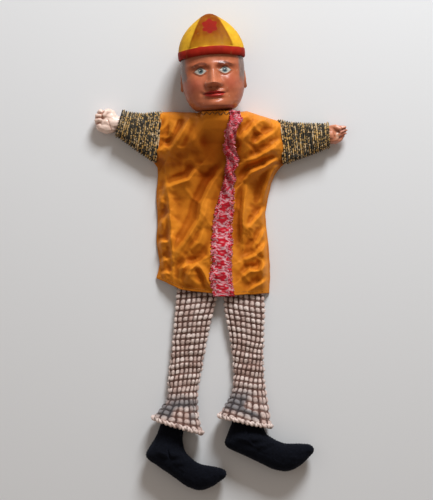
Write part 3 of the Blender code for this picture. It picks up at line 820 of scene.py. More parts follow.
# x, y, width and height of the patches where the cloth is crushed, and how much
CRUSHED = (
    (54, 108, 22, 20, 1.0), (44, 134, 22, 16, 0.8), (-62, 124, 14, 26, 0.9), (-64, 4, 10, 40, 0.8),
    (40, -18, 18, 26, 0.8), (34, 34, 14, 24, 0.6), (-26, -24, 22, 14, 0.7), (-58, 62, 12, 20, 0.5),
)


def front_sheet(x, y):
    """Height of the cloth's front over the table."""
    right, left = table(SIDES, y)
    top, square = table(RISE, y)
    s = np.clip(2 * (x - right) / (left - right) - 1, -1, 1)
    high = smooth(96, 116, y)
    side_height = 2.2 + high * 6.0
    shoulder_top = np.where(y > 96, 22.0, 0)
    body = side_height + (top - side_height) * (1 - np.abs(s) ** square)
    (hump,) = table(((-80, 17.5), (-60, 20.0), (-44, 24.0), (-28, 34.5), (-18, 46.5), (-5, 52.5), (8, 49),
                     (20, 36), (36, 25), (60, 20.0), (80, 17.5)), x)
    shoulder = np.minimum(np.maximum(body, np.minimum(shoulder_top, hump)), hump + 2)
    return body * (1 - high) + shoulder * high


def shoulder_roll(x, y):
    """Brings the front down to the seam along the shoulder and the sleeve's lower edge."""
    (top,) = table([(row[0], row[2]) for row in ENDS], x)
    return np.sqrt(np.clip(1 - (1 - np.clip((top - y) / 9.0, 0, 1)) ** 2, 0, 1))


def underarm(x, y):
    """0 on the sleeve's lower edge and 1 a little above it, beyond the armpit."""
    raised = np.sqrt(np.clip((y - SLEEVE_LOW) / 9.0, 0.0, 1.0))
    outside = np.clip(smooth(-61, -72, x) + smooth(57, 69, x), 0, 1)
    return 1 - outside * (1 - raised) * (y > 92)


def satin_height(x, y):
    plain = front_sheet(x, y)
    edge = 11.0
    open_neck = smooth(24, 18, np.abs(x + 2.5))
    rolled = edge + (plain - edge) * np.maximum(shoulder_roll(x, y), open_neck)
    height = np.where(y > 120, rolled, plain)
    armpit = 5.0
    height = armpit + (height - armpit) * underarm(x, y)
    crumple = 0.0
    for path, tall, wide, hollow in FOLDS:
        crumple = crumple + fold(x, y, path, tall, wide, hollow)
    spot = xyz(x, y, 0)
    turned = xyz(x * 0.8 + y * 0.6, (y * 0.8 - x * 0.6) * 0.4, 0)
    crushed = 0.12
    for cx, cy, wide, tall, share in CRUSHED:
        crushed = crushed + share * bump(x, y, cx, cy, wide, tall)
    warped = turned + 3.0 * xyz(noise(spot, 9.0, 63), noise(spot, 9.0, 64), 0)
    wrinkles = 1.7 * ridged(warped, 12.0, 65) + 0.8 * ridged(spot, 6.5, 66) + 0.35 * ridged(warped, 3.4, 67)
    planes = 1.7 * ridged(warped, 27.0, 68) + 1.0 * cloudy(turned, 14.0, 61)
    crumple = crumple + planes + np.minimum(crushed, 1.1) * wrinkles
    right, left = table(SIDES, y)
    rim = smooth(0.0, 5.0, np.minimum(x - right, left - x))
    near_neck = 1 - 0.85 * smooth(32, 14, np.hypot((x + 5) / 0.85, (y - 132) / 1.4))
    return height + crumple * (0.25 + 0.75 * rim) * near_neck


def satin_grid(step):
    """The tunic's outline filled with a grid of places (x, y)."""
    rows = int(200 / step)
    columns = int(124 / step)
    v = np.linspace(0, 1, rows)[:, None]
    u = np.linspace(0, 1, columns)[None, :]
    y = -45 + 200 * v + 0 * u
    for _ in range(3):
        right, left = table(SIDES, y)
        x = right + (left - right) * u
        hem, top = table(ENDS, x)
        y = hem + (top - hem) * v
    x = x + 0.35 * noise(xyz(0, y, 0), 7.0, 71) * (2 * u - 1)
    y = y + 0.5 * noise(xyz(x, 0, 0), 9.0, 72) * (1 - v)
    return x, y


def split_piece(name, points, faces, keep, surface_of, normals, colours=None):
    """One part of a larger cloth: it keeps the whole cloth's normals, so that no seam shows."""
    used = np.unique(faces[keep])
    renumber = np.full(len(points), -1)
    renumber[used] = np.arange(len(used))
    made = mesh_piece(name, points[used], renumber[faces[keep]], surface_of,
                      None if colours is None else colours[used])
    made.data.normals_split_custom_set_from_vertices(normals[used].tolist())
    return made


def vertex_normals(points, faces):
    """Area-weighted normals of a mesh of quads."""
    a, b, c, d = (points[faces[:, k]] for k in range(4))
    face_normal = np.cross(c - a, d - b)
    total = np.zeros_like(points)
    for k in range(4):
        np.add.at(total, faces[:, k], face_normal)
    return total / np.maximum(np.linalg.norm(total, axis=1, keepdims=True), 1e-12)


# The line where each shoulder piece is cut from the tunic: a point, and the way out along the arm
SHOULDER_LINE = {
    "right": (np.array((-62.0, 88.0)), np.array((-0.894, 0.447))),
    "left": (np.array((57.5, 88.0)), np.array((0.894, 0.447))),
}


def build_tunic():
    step = 1.15
    x, y = satin_grid(step)
    z = satin_height(x, y)
    rows, columns = x.shape
    front = xyz(x, y, z)
    back_rise = 9.0 * smooth(118, 146, y) * np.clip(1 - (np.abs(x + 5) / 34) ** 2, 0, 1)
    back = xyz(x, y, 0.25 + 0.35 * (1 + cloudy(xyz(x, y, 0), 14.0, 77)) + back_rise)
    sleeve_floor = smooth(60, 68, np.abs(x + 0.5)) * (y > 97) * 1.5
    back[..., 2] += sleeve_floor
    front[..., 2] = np.maximum(front[..., 2], back[..., 2] + 1.4)
    inner_front = front - np.array((0, 0, SHEET))
    inner_back = back + np.array((0, 0, SHEET))
    inner_front[..., 2] = np.maximum(inner_front[..., 2], inner_back[..., 2] + 0.1)

    count = rows * columns
    points = np.concatenate([p.reshape(-1, 3) for p in (front, back, inner_front, inner_back)])
    number = np.arange(count).reshape(rows, columns)
    up = grid_faces(rows, columns)
    faces = [up, up[:, ::-1] + count, up[:, ::-1] + 2 * count, up + 3 * count]

    def strip(edge_a, edge_b):
        return np.stack([edge_a[:-1], edge_a[1:], edge_b[1:], edge_b[:-1]], 1)

    seam_side = (y[:, 0] < 98.5)
    right, left = number[:, 0], number[:, -1]
    hem, top = number[0], number[-1]
    open_neck = (np.abs(x[-1] + 5) < 17.0)
    shut = seam_side[:-1] & seam_side[1:]
    for edge, flip in ((right, False), (left, True)):
        ends = strip(edge, edge + count)
        front_rim = strip(edge, edge + 2 * count)[~shut]
        back_rim = strip(edge + 3 * count, edge + count)[~shut]
        for part in (ends[shut], front_rim, back_rim):
            faces.append(part[:, ::-1] if flip else part)
    faces.append(strip(hem, hem + 2 * count)[:, ::-1])
    faces.append(strip(hem + 3 * count, hem + count)[:, ::-1])
    shut = ~(open_neck[:-1] & open_neck[1:])
    faces.append(strip(top, top + count)[shut])
    faces.append(strip(top, top + 2 * count)[~shut])
    faces.append(strip(top + 3 * count, top + count)[~shut])
    faces = np.concatenate(faces)
    normals = vertex_normals(points, faces)
    middle = points[faces].mean(1)[:, :2]
    beyond = {}
    for side, (start, outward) in SHOULDER_LINE.items():
        beyond[side] = ((middle - start) @ outward > 0) & (middle[:, 1] > 60)
    pieces = {"tunic_satin": ~(beyond["right"] | beyond["left"])}
    pieces.update({f"shoulder_satin_{side}": mask for side, mask in beyond.items()})
    around = z.copy()
    for _ in range(40):
        around[1:-1, 1:-1] = (around[:-2, 1:-1] + around[2:, 1:-1] + around[1:-1, :-2] + around[1:-1, 2:]) / 4
    # Painted shade in the creases: darker where the front lies below its smoothed surroundings.
    hollow = smooth(0.5, -1.1, z - around)
    spot = xyz(x, y, 0)
    # Painted shade on the chest's slope up to the neck; with the creases' painted shade and some random tone,
    # it sets how dark the satin is.
    chest_shade = 0.42 * bump(x, y, -16, 108, 36, 48)
    deep = np.clip(0.15 + chest_shade + 0.5 * hollow + 0.2 * cloudy(spot, 26.0, 78), 0, 1)
    front_paint = mix(SATIN_FACE, SATIN_SHADE_AND_TONE, deep).reshape(-1, 3)
    # The inside faces are painted all over in the darkened satin colour, as painted shade.
    plain = np.broadcast_to(SATIN_SHADE_AND_TONE, front_paint.shape)
    paint = np.concatenate([front_paint, front_paint, plain, plain])
    for name, keep in pieces.items():
        made = split_piece(name, points, faces, keep, SATIN, normals, paint)
        if name == "tunic_satin":
            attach(made, "tunic")
            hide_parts("tunic_front", "tunic_back")
        else:
            side = name.rsplit("_", 1)[1]
            start, outward = SHOULDER_LINE[side]
            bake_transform(made)
            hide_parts(f"shoulder_{side}")
    return front


tunic_front = build_tunic()


def satin_at(x, y):
    """Height of the finished front under places (x, y), read from the tunic's own grid."""
    grid = tunic_front
    rows, columns = grid.shape[:2]
    x, y = np.asarray(x, float), np.asarray(y, float)
    v = np.clip((y - HEM_Y) / (NECKLINE_Y - HEM_Y), 0, 1) * (rows - 1)
    u = np.full(x.shape, columns / 2.0)
    for _ in range(4):
        i, j = np.clip(v.astype(int), 0, rows - 2), np.clip(u.astype(int), 0, columns - 2)
        here = grid[i, j]
        span_x = grid[i, columns - 1, 0] - grid[i, 0, 0]
        span_y = grid[rows - 1, j, 1] - grid[0, j, 1]
        u = np.clip(u + (x - here[..., 0]) / span_x * (columns - 1), 0, columns - 1.001)
        v = np.clip(v + (y - here[..., 1]) / span_y * (rows - 1), 0, rows - 1.001)
    i, j = v.astype(int), u.astype(int)
    fv, fu = v - i, u - j
    z = grid[..., 2]
    low = z[i, j] * (1 - fu) + z[i, j + 1] * fu
    high = z[i + 1, j] * (1 - fu) + z[i + 1, j + 1] * fu
    return low * (1 - fv) + high * fv


def strands(name, paths, radius, surface_of, sides=6):
    """Short lengths of thread along lists of points, as one mesh."""
    points, faces, count = [], [], 0
    for path in paths:
        path = np.array(path, float)
        along = np.gradient(path, axis=0)
        along /= np.maximum(np.linalg.norm(along, axis=1, keepdims=True), 1e-9)
        across = np.cross(along, np.array((0.31, 0.17, 0.93)))
        across /= np.linalg.norm(across, axis=1, keepdims=True)
        up = np.cross(along, across)
        share = np.linspace(-1, 1, len(path))
        thick = radius * (0.35 + 0.65 * np.sqrt(np.clip(1 - share**4, 0, 1)))[:, None]
        ring = tube_points(path, across * thick, up * thick, sides)
        points.append(ring.reshape(-1, 3))
        side_faces = grid_faces(len(path), sides, wrap_columns=True) + count
        faces += side_faces.tolist()
        faces.append([count + k for k in range(sides)])
        faces.append([count + (len(path) - 1) * sides + k for k in range(sides)][::-1])
        count += len(path) * sides
    return mesh_piece(name, np.concatenate(points), faces, surface_of)


def build_neck_ruffle():
    """Satin gathered round the neck: it leaves the neckline and is bound in the head's groove."""
    count, rows = 260, 34
    turn = full_turn(count)
    t = np.linspace(0, 1, rows)
    height = np.interp(t, (0, 0.3, 0.55, 0.7, 0.85, 1.0), (-3.5, 1.5, 5.2, 7.4, 10.0, 12.6))
    radius = np.interp(t, (0, 0.3, 0.5, 0.62, 0.7, 0.8, 0.9, 1.0),
                       (15.6, 16.6, 16.6, 16.2, 16.0, 16.6, 17.8, 18.4))
    wobble = 0.35 * noise(xyz(np.cos(turn) * 8, np.sin(turn) * 8, 0), 2.2, 81)
    pleat = np.cos(30 * turn + 3.0 * wobble)[None, :] * (0.5 + 0.5 * np.abs(t - 0.68) * 2.4)[:, None]
    r = radius[:, None] + 0.9 * pleat + 0.6 * wobble[None, :]
    up = height[:, None] + 0.5 * wobble[None, :] * t[:, None]
    points = place_on_head(xyz(r * np.cos(turn), up, r * np.sin(turn)))
    faces = grid_faces(rows, count, wrap_columns=True)
    # Painted shade: darker in the pleats' inward folds.
    gathered = mix(SATIN_FACE, SATIN_SHADE_AND_TONE, 0.6 - 0.4 * pleat)
    ruffle = mesh_piece("neck_ruffle", points, faces[:, ::-1], SATIN, gathered, solid=0.8)
    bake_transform(ruffle)
    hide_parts("neck_gather")

    turns, steps = 3.4, 300
    t = np.linspace(0, 1, steps)
    angle = 2 * np.pi * turns * t
    r = 17.9 + 0.25 * noise(xyz(np.cos(angle) * 9, np.sin(angle) * 9, 9 * t), 2.0, 83)
    wound = xyz(r * np.cos(angle), 6.6 + 1.9 * t, r * np.sin(angle))
    thread = strands("neck_thread_winding", [place_on_head(wound)], 0.42, DARK_THREAD)
    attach(thread, "neck")
    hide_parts("neck_thread")

    paths = []
    for k, x in enumerate(np.arange(-27.0, 20.0, 3.1)):
        t = np.linspace(-1, 1, 7)
        lean = 1.5 if k % 2 else -1.1
        xs = x + lean * t
        ys = 151.2 + 0.8 * noise(np.array((x, 0.0, 0.0)), 3.0, 82) + 1.5 * t
        paths.append(xyz(xs, ys, satin_at(xs, ys) + 0.35 + 0.25 * (1 - t**2)))
    stitches = strands("collar_stitches", paths, 0.38, DARK_THREAD)
    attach(stitches, "tunic")


def build_hem():
    """Running stitches along the turned-up hem, and the tape inside it."""
    paths = []
    pitch, long, steps = 2.5, 1.5, 5
    for x in np.arange(-68, 53, pitch):
        xs = np.linspace(x, x + long, steps)
        hem, _ = table(ENDS, xs)
        ys = hem + 3.2 + 0.15 * np.sin(xs * 1.3)
        lift = 0.22 * np.sin(np.linspace(0, np.pi, steps))
        paths.append(xyz(xs, ys, satin_at(xs, ys) + lift))
    stitches = strands("hem_stitches", paths, 0.22, STITCH)
    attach(stitches, "tunic")

    columns = 90
    xs = np.linspace(-52, 48, columns)
    hem, _ = table(ENDS, xs)
    ys = np.stack([hem + k for k in np.linspace(2.0, 10.0, 9)])
    grid_x = np.broadcast_to(xs, ys.shape)
    zs = np.minimum(satin_at(grid_x, ys), satin_at(grid_x, ys + 2)) - SHEET - 1.9
    weave = 0.12 * np.cos(grid_x * 3.1) * np.cos(ys * 3.1)
    points = xyz(grid_x, ys, np.maximum(zs, 2.6) + weave)
    tape = mesh_piece("hem_tape", points, grid_faces(*grid_x.shape), TAPE, solid=0.8)
    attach(tape, "tunic")
    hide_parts("leg_tape")


# ---- scarf -------------------------------------------------------------------------------

# y, middle x, half width, how much of a rope it is there
SCARF_ROWS = (
    (-47.5, 2.2, 11.0, 0.0), (-30, 0.2, 11.4, 0.0), (-8, 0.2, 10.8, 0.0), (14, 1.2, 10.6, 0.0),
    (36, 1.6, 10.0, 0.0), (50, 4.6, 9.4, 0.05), (62, 6.4, 7.6, 0.2), (70, 7.6, 6.4, 0.4),
    (80, 9.0, 5.6, 0.7), (88, 9.4, 5.6, 0.8), (96, 11.6, 7.0, 0.7), (104, 11.8, 7.6, 0.6),
    (112, 10.4, 6.8, 0.8), (120, 8.4, 6.2, 0.9), (128, 9.2, 6.4, 0.8), (136, 12.6, 6.6, 0.8),
    (144, 15.2, 7.0, 0.7), (151, 16.4, 6.6, 0.7), (155, 16.6, 5.6, 0.7),
)
SCARF_RED = np.array((0.62, 0.003, 0.018))
SCARF_PINK = np.array((0.60, 0.035, 0.07))
SCARF_WHITE = np.array((0.84, 0.48, 0.51))


def scarf_print(along, across, spot):
    """Rows of red flowers with pale outlines on a pink and white zigzag ground."""
    u = across + 1.2 * noise(spot, 5.0, 91)
    v = along + 1.4 * noise(spot, 5.0, 92)
    zigzag = np.sin(v * 1.7 + 1.6 * np.abs((u / 2.8) % 2 - 1) * np.pi + 1.2 * noise(spot, 2.2, 99))
    colour = mix(SCARF_PINK, SCARF_WHITE, smooth(0.5, 0.95, zigzag) * 0.8)
    colour = mix(colour, SCARF_RED, smooth(0.1, 0.6, noise(spot, 2.4, 93) - 0.35 * zigzag) * 0.85)
    pitch = 12.6
    for offset_u, offset_v, size in ((-0.4, 0.0, 1.0), (-9.0, 6.2, 0.85), (8.6, 6.0, 0.85)):
        cell = (v - offset_v + pitch / 2) % pitch - pitch / 2
        du = u - offset_u
        angle = np.arctan2(cell, du)
        radius = np.hypot(cell, du) / size
        petal = 4.2 + 1.1 * np.cos(5 * angle + 0.6) + 0.7 * noise(spot, 1.6, 90)
        colour = mix(colour, SCARF_WHITE, smooth(petal + 1.5, petal + 0.9, radius))
        colour = mix(colour, SCARF_RED, smooth(petal + 0.3, petal - 0.2, radius))
        colour = mix(colour, SCARF_WHITE, 0.6 * smooth(1.0, 0.5, radius))
    yarn = 0.86 + 0.26 * noise(spot * np.array((1.0, 0.45, 1.0)), 0.8, 94)
    return colour * yarn[..., None]


def build_scarf():
    rows, columns = 420, 60
    y = np.linspace(SCARF_ROWS[0][0], SCARF_ROWS[-1][0], rows)[:, None]
    middle, half, rope = table(SCARF_ROWS, y)
    turn = full_turn(columns)[None, :]
    c, s = np.cos(turn), np.sin(turn)
    flat = rounded(s, 0.7)
    ragged = 1.0 + 0.24 * noise(xyz(np.sign(c) * 9, y, 0), 2.4, 95)
    ragged = ragged + 0.08 * np.sin(y * 2.9 + 2 * np.sign(c))
    x = middle + half * rounded(c, 0.62 + 0.3 * rope) * ragged
    thick = 0.9 + rope * (half * 0.50)
    y = y + 0 * x
    inside_y = np.clip(y, HEM_Y + 1.5, 153.0)
    under = satin_at(np.clip(x, -60, 45), inside_y)
    base = satin_at(middle + 0 * x, inside_y)
    lie = (1 - 0.75 * rope) * under + 0.75 * rope * np.maximum(under, base)
    z = lie + 0.35 + thick * (1 + flat)
    wind = y * 2 * np.pi / 21.0
    twist = np.sin(wind + c * 1.6 * np.pi + 0.8)
    upper = (s > -0.2)
    z = z + rope * 2.2 * twist * upper
    x = x + rope * 1.3 * np.cos(wind + 0.8)
    spot = xyz(x, y, 0)
    pile = 0.35 * noise(spot, 1.7, 96) + 0.12 * noise(spot, 0.8, 97) + 0.8 * noise(spot, 6.0, 98)
    z = z + upper * pile
    shift = rope * 9.0 * np.cos(wind)
    colours = scarf_print(y + shift, c * half * (1 + 0.5 * rope) + shift, spot)
    shadow = 0.7 + 0.3 * smooth(-1.2, 0.6, rope * twist + pile)
    colours = mix(colours, SCARF_PINK, 0.4 * rope) * shadow[..., None]
    faces = grid_faces(rows, columns, wrap_columns=True)
    scarf = mesh_piece("printed_scarf", xyz(x, y, z), faces, SCARF, colours)
    close_ends(scarf, columns)
    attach(scarf, "tunic")
    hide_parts("front_scarf")

    rng = np.random.default_rng(7)
    paths = []
    for _ in range(190):
        yy = rng.uniform(-47, 76)
        middle_x, half_x, _ = (float(v) for v in table(SCARF_ROWS, yy))
        side = rng.choice((-1, 1))
        start_x = middle_x + side * half_x * rng.uniform(0.8, 0.98)
        reach = rng.uniform(0.8, 2.4)
        lean = rng.uniform(-1.6, 1.6)
        t = np.linspace(0, 1, 6)
        xs = start_x + side * reach * t
        ys = np.clip(yy + lean * t**2, -48.5, 80)
        zs = satin_at(xs, np.clip(ys, HEM_Y + 1.5, 153)) + 1.3 + 0.9 * np.sin(np.pi * t) - 0.5 * t
        paths.append(xyz(xs, ys, zs))
    for _ in range(26):
        xx = rng.uniform(-8, 12)
        t = np.linspace(0, 1, 6)
        ys = -46.5 - rng.uniform(0.6, 2.2) * t
        xs = xx + rng.uniform(-1, 1) * t
        zs = 13.5 + 1.2 * np.sin(np.pi * t) + 0 * t
        paths.append(xyz(xs, ys, zs))
    fray = strands("scarf_fray", paths, 0.3, FRAY, 5)
    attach(fray, "tunic")


def edit_faces(target, columns=0):
    """Turns a closed mesh's faces outwards, once a tube of so many columns has its two ends capped."""
    mesh = target.data
    count = len(mesh.vertices)
    made = bmesh.new()
    made.from_mesh(mesh)
    made.verts.ensure_lookup_table()
    if columns:
        made.faces.new([made.verts[k] for k in range(columns)])
        made.faces.new([made.verts[count - columns + k] for k in range(columns)][::-1])
    bmesh.ops.recalc_face_normals(made, faces=made.faces)
    made.to_mesh(mesh)
    made.free()


def close_ends(target, columns):
    """Caps the first and last ring of a tube with one face each."""
    edit_faces(target, columns)
    target.data.shade_smooth()


build_neck_ruffle()
build_hem()
build_scarf()


# ---- knitted sleeves -----------------------------------------------------------------------

STITCH_WIDE, STITCH_TALL = 1.35, 2.35
YARN_BLACK = np.array((0.012, 0.008, 0.006))
YARN_GOLD = np.array((0.72, 0.43, 0.13))
YARN_BEIGE = np.array((0.80, 0.62, 0.40))
YARN_BLUE = np.array((0.075, 0.08, 0.085))

# Each section is the limb's upper edge, its lower edge, its lowest and its highest z
SLEEVES = {
    "right": (
        ((-63.5, 154.6), (-71.0, 99.8), 2.0, 19.0), ((-66.8, 154.8), (-74.2, 100.6), 1.2, 20.5),
        ((-75, 154.4), (-81.5, 105.2), 0.6, 21.0), ((-85, 153.2), (-91.5, 112.6), 0.5, 20.5),
        ((-95, 154.0), (-102.0, 120.4), 0.5, 20.5), ((-104, 155.4), (-111.5, 127.2), 0.5, 20.8),
        ((-108.8, 156.2), (-116.0, 130.4), 0.6, 20.6),
    ),
    "left": (
        ((62.0, 146.0), (67.4, 98.6), 2.0, 19.0), ((65.4, 145.2), (71.2, 98.8), 1.2, 20.5),
        ((76, 143.4), (80.5, 101.8), 0.6, 21.0), ((90, 142.4), (93.5, 107.0), 0.5, 20.5),
        ((104, 142.0), (106.5, 112.0), 0.5, 20.5), ((114, 142.4), (115.4, 115.8), 0.5, 20.8),
        ((118.6, 142.4), (119.4, 117.4), 0.6, 20.6),
    ),
}


def limb_rings(sections, rows, sides, power):
    """Evenly spaced rings through a limb's sections, and the length along it."""
    data = np.array([(*one, *other, low, high) for one, other, low, high in sections])
    middle = (data[:, 0:2] + data[:, 2:4]) / 2
    run = running_length(middle)
    at = np.linspace(0, run[-1], rows)
    value = [smooth_curve(run, data[:, k], at) for k in range(6)]
    centres = xyz((value[0] + value[2]) / 2, (value[1] + value[3]) / 2, (value[4] + value[5]) / 2)
    across = xyz((value[2] - value[0]) / 2, (value[3] - value[1]) / 2, 0)
    up = xyz(0, 0, (value[5] - value[4]) / 2)
    return tube_points(centres, across, up, sides, power), at


def smooth_curve(keys, values, at):
    """A Catmull-Rom curve through the values."""
    slope = np.gradient(values, keys)
    i = np.clip(np.searchsorted(keys, at) - 1, 0, len(keys) - 2)
    span = keys[i + 1] - keys[i]
    t = (at - keys[i]) / span
    a, b, c, d = values[i], slope[i] * span, values[i + 1], slope[i + 1] * span
    return a + b * t + (3 * (c - a) - 2 * b - d) * t**2 + (2 * (a - c) + b + d) * t**3


def limb_grid(sections, rows, sides, power):
    """A limb's points, outward normals, rings' middles, length along and round it, and each ring's whole."""
    points, at = limb_rings(sections, rows, sides, power)
    out = grid_normals(points)
    middle = points.mean(1, keepdims=True)
    out *= np.sign(((points - middle) * out).sum(-1).mean())
    return (points, out, middle, at, *ring_lengths(points))


def lined(outside, out, wall, least, colours, shade):
    """A limb with its inside: a grid of points, its paint and its faces."""
    inner = outside - out * wall
    inner[..., 2] = np.clip(inner[..., 2], outside[..., 2].min(1, keepdims=True) + least, None)
    skin = np.concatenate([outside, inner[::-1]])
    paint = np.concatenate([colours, (colours * shade)[::-1]])
    return skin, paint, grid_faces(len(skin), skin.shape[1], wrap_rows=True, wrap_columns=True)


def ring_lengths(points):
    """Running length round each ring of a tube, and each ring's whole length."""
    step = np.linalg.norm(np.roll(points, -1, 1) - points, axis=-1)
    return np.cumsum(step, axis=1) - step, step.sum(1, keepdims=True)


def build_knit_sleeve(side):
    rows, sides = 230, 280
    points, out, _, at, around, whole = limb_grid(SLEEVES[side], rows, sides, 0.82)
    v = at[:, None] + 0.5 * noise(points, 9.0, 101)
    u = around / whole * np.round(whole.mean() / STITCH_WIDE)
    row = v / STITCH_TALL
    phase = row % 1
    ridge = np.abs(np.sin(np.pi * phase))
    number = np.floor(row)
    loops = 0.5 + 0.5 * np.cos(2 * np.pi * (u + 0.5 * (number % 2) + 0.12 * np.sin(2 * np.pi * phase)))
    relief = 1.5 * ridge + 0.5 * ridge * loops + 0.3 * noise(points, 1.1, 102)
    slack = 0.9 * cloudy(points, 16.0, 103) + 0.5 * cloudy(points, 8.0, 104)
    end = smooth(v.max() - 3.4, v.max() - 1.0, v)
    start = smooth(2.2, 0.4, v)
    roll = 1.4 * np.sin(np.pi * np.clip((v - v.max() + 3.4) / 3.4, 0, 1))
    moved = points + out * (relief + slack * (1 - end) * (1 - start) + roll - 0.5)[..., None]
    moved[..., 2] = np.maximum(moved[..., 2], 0.15)

    half_row = np.floor(row * 2)
    fleck = hashed(np.floor(u + 0.5 * (half_row % 2)) + 50, half_row + 50, 0 * u, 105)
    dyed = noise(xyz(u * 0.22, number * 1.3, 0), 2.0, 106)
    band = 0.34 * np.where(number % 2 > 0.5, 0.8, -1.0)
    band = band + 0.22 * hashed(number + 9, 0 * number, 0 * number, 108)
    gold = smooth(0.0, 0.3, 0.85 * fleck + 0.35 * dyed + band)
    base = layered(
        YARN_BLACK,
        (YARN_GOLD, gold),
        (YARN_BEIGE, gold * smooth(-0.1, 0.5, noise(points, 2.2, 107)) * 0.8),
        (YARN_BLUE, (1 - gold) * smooth(0.35, 0.8, noise(points, 4.5, 109)) * 0.7),
    )
    # Painted shade: the yarn is darkened in the grooves between rows and between loops, where the relief is
    # low.
    colours = base * (0.22 + 0.9 * ridge * (0.6 + 0.4 * loops))[..., None]
    skin, paint, faces = lined(moved, out, 1.7, 1.2, colours, 0.4)
    sleeve = mesh_piece(f"knit_sleeve_{side}_wool", skin, faces, KNIT, paint)
    edit_faces(sleeve)
    top, low = (np.array(edge) for edge in SLEEVES[side][1][:2])
    seam = (top + low) / 2
    outward = np.array((low - top)[::-1]) * np.array((1, -1))
    outward = outward / np.linalg.norm(outward)
    if outward[0] * seam[0] < 0:
        outward = -outward
    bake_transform(sleeve)
    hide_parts(f"knit_sleeve_{side}", f"cuff_welt_{side}")


# ---- hands ---------------------------------------------------------------------------------

# Each limb of a hand is a chain of (x, y, z, radius) balls, drawn for the palm of the right hand
# with the fingers towards -x. The left hand has its own, with its fingers together.
HAND_CHAINS = {
    "right": (
        ((-101, 144.2, 10.5, 6.6), (-112, 143.6, 10.5, 7.2), (-120, 143.6, 10.4, 8.6)),
        ((-120.5, 149.0, 10.4, 6.8), (-125, 151.0, 10.2, 7.0), (-130, 151.2, 10.0, 6.0)),
        ((-120.5, 139.4, 10.2, 7.2), (-126, 138.6, 9.6, 7.6), (-131.8, 140.2, 9.4, 6.6)),
        ((-121, 144.5, 9.8, 8.0), (-127, 144.5, 9.8, 7.8), (-133, 144.5, 9.4, 6.4)),
        ((-126, 136.4, 9.6, 4.9), (-131.6, 138.4, 10.4, 4.6), (-134.2, 140.8, 12.4, 3.4)),
        ((-131, 141.8, 9.8, 4.0), (-135.6, 143.6, 11.0, 3.5), (-136.4, 146.0, 13.8, 3.0),
         (-133.2, 146.6, 16.0, 2.6)),
        ((-132, 147.0, 9.0, 3.7), (-135.8, 149.0, 10.4, 3.5), (-135.8, 151.0, 13.6, 3.0),
         (-132.6, 150.8, 15.8, 2.6)),
        ((-130, 152.4, 9.4, 3.6), (-133.6, 154.4, 10.8, 3.4), (-132.8, 155.6, 13.8, 2.9),
         (-129.8, 154.8, 15.6, 2.5)),
        ((-120, 153.6, 11.0, 3.9), (-124.0, 155.6, 13.4, 3.6), (-127.6, 154.6, 16.0, 3.1),
         (-128.6, 151.6, 17.0, 2.6)),
    ),
    "left": (
        ((105, 129.4, 10.5, 7.0), (116, 129.6, 10.5, 7.3), (121, 130.0, 10.6, 7.6)),
        ((121, 126.0, 10.2, 6.0), (126, 126.6, 10.0, 6.0)),
        ((121, 135.0, 10.6, 6.0), (126, 136.2, 10.6, 5.6)),
        ((124, 129.0, 10.4, 6.2), (129, 130.6, 10.2, 5.6)),
        ((126, 123.4, 9.6, 3.5), (130.6, 125.6, 10.0, 3.2), (134.6, 129.2, 10.8, 2.5)),
        ((128, 127.6, 10.0, 3.5), (132.6, 129.4, 10.6, 3.2), (136.4, 132.2, 11.0, 2.4)),
        ((128, 131.8, 10.4, 3.5), (133.0, 133.4, 10.8, 3.2), (137.2, 135.2, 11.2, 2.3)),
        ((127, 136.0, 10.6, 3.4), (131.6, 137.4, 11.0, 3.1), (136.2, 138.0, 11.4, 2.3)),
        ((122, 137.8, 12.2, 3.4), (126.0, 138.6, 15.0, 3.0), (130.2, 136.8, 16.4, 2.4)),
    ),
}
# Each hand's base colour, its darker colour for painted shade and its paler colour, which also serves as
# painted light.
HAND_COLOURS = {
    "right": (np.array((0.84, 0.56, 0.45)), np.array((0.46, 0.19, 0.12)), np.array((0.92, 0.72, 0.62))),
    "left": (np.array((0.54, 0.165, 0.08)), np.array((0.20, 0.04, 0.018)), np.array((0.66, 0.27, 0.155))),
}


def chain_field(points, chain):
    """Signed distance to a tapered chain of balls."""
    best = np.full(len(points), FAR)
    for (ax, ay, az, ar), (bx, by, bz, br) in zip(chain, chain[1:]):
        a, d = np.array((ax, ay, az)), np.array((bx - ax, by - ay, bz - az))
        t = np.clip(((points - a) @ d) / (d @ d), 0, 1)
        distance = np.linalg.norm(points - a - t[:, None] * d, axis=1) - (ar + (br - ar) * t)
        best = np.minimum(best, distance)
    return best


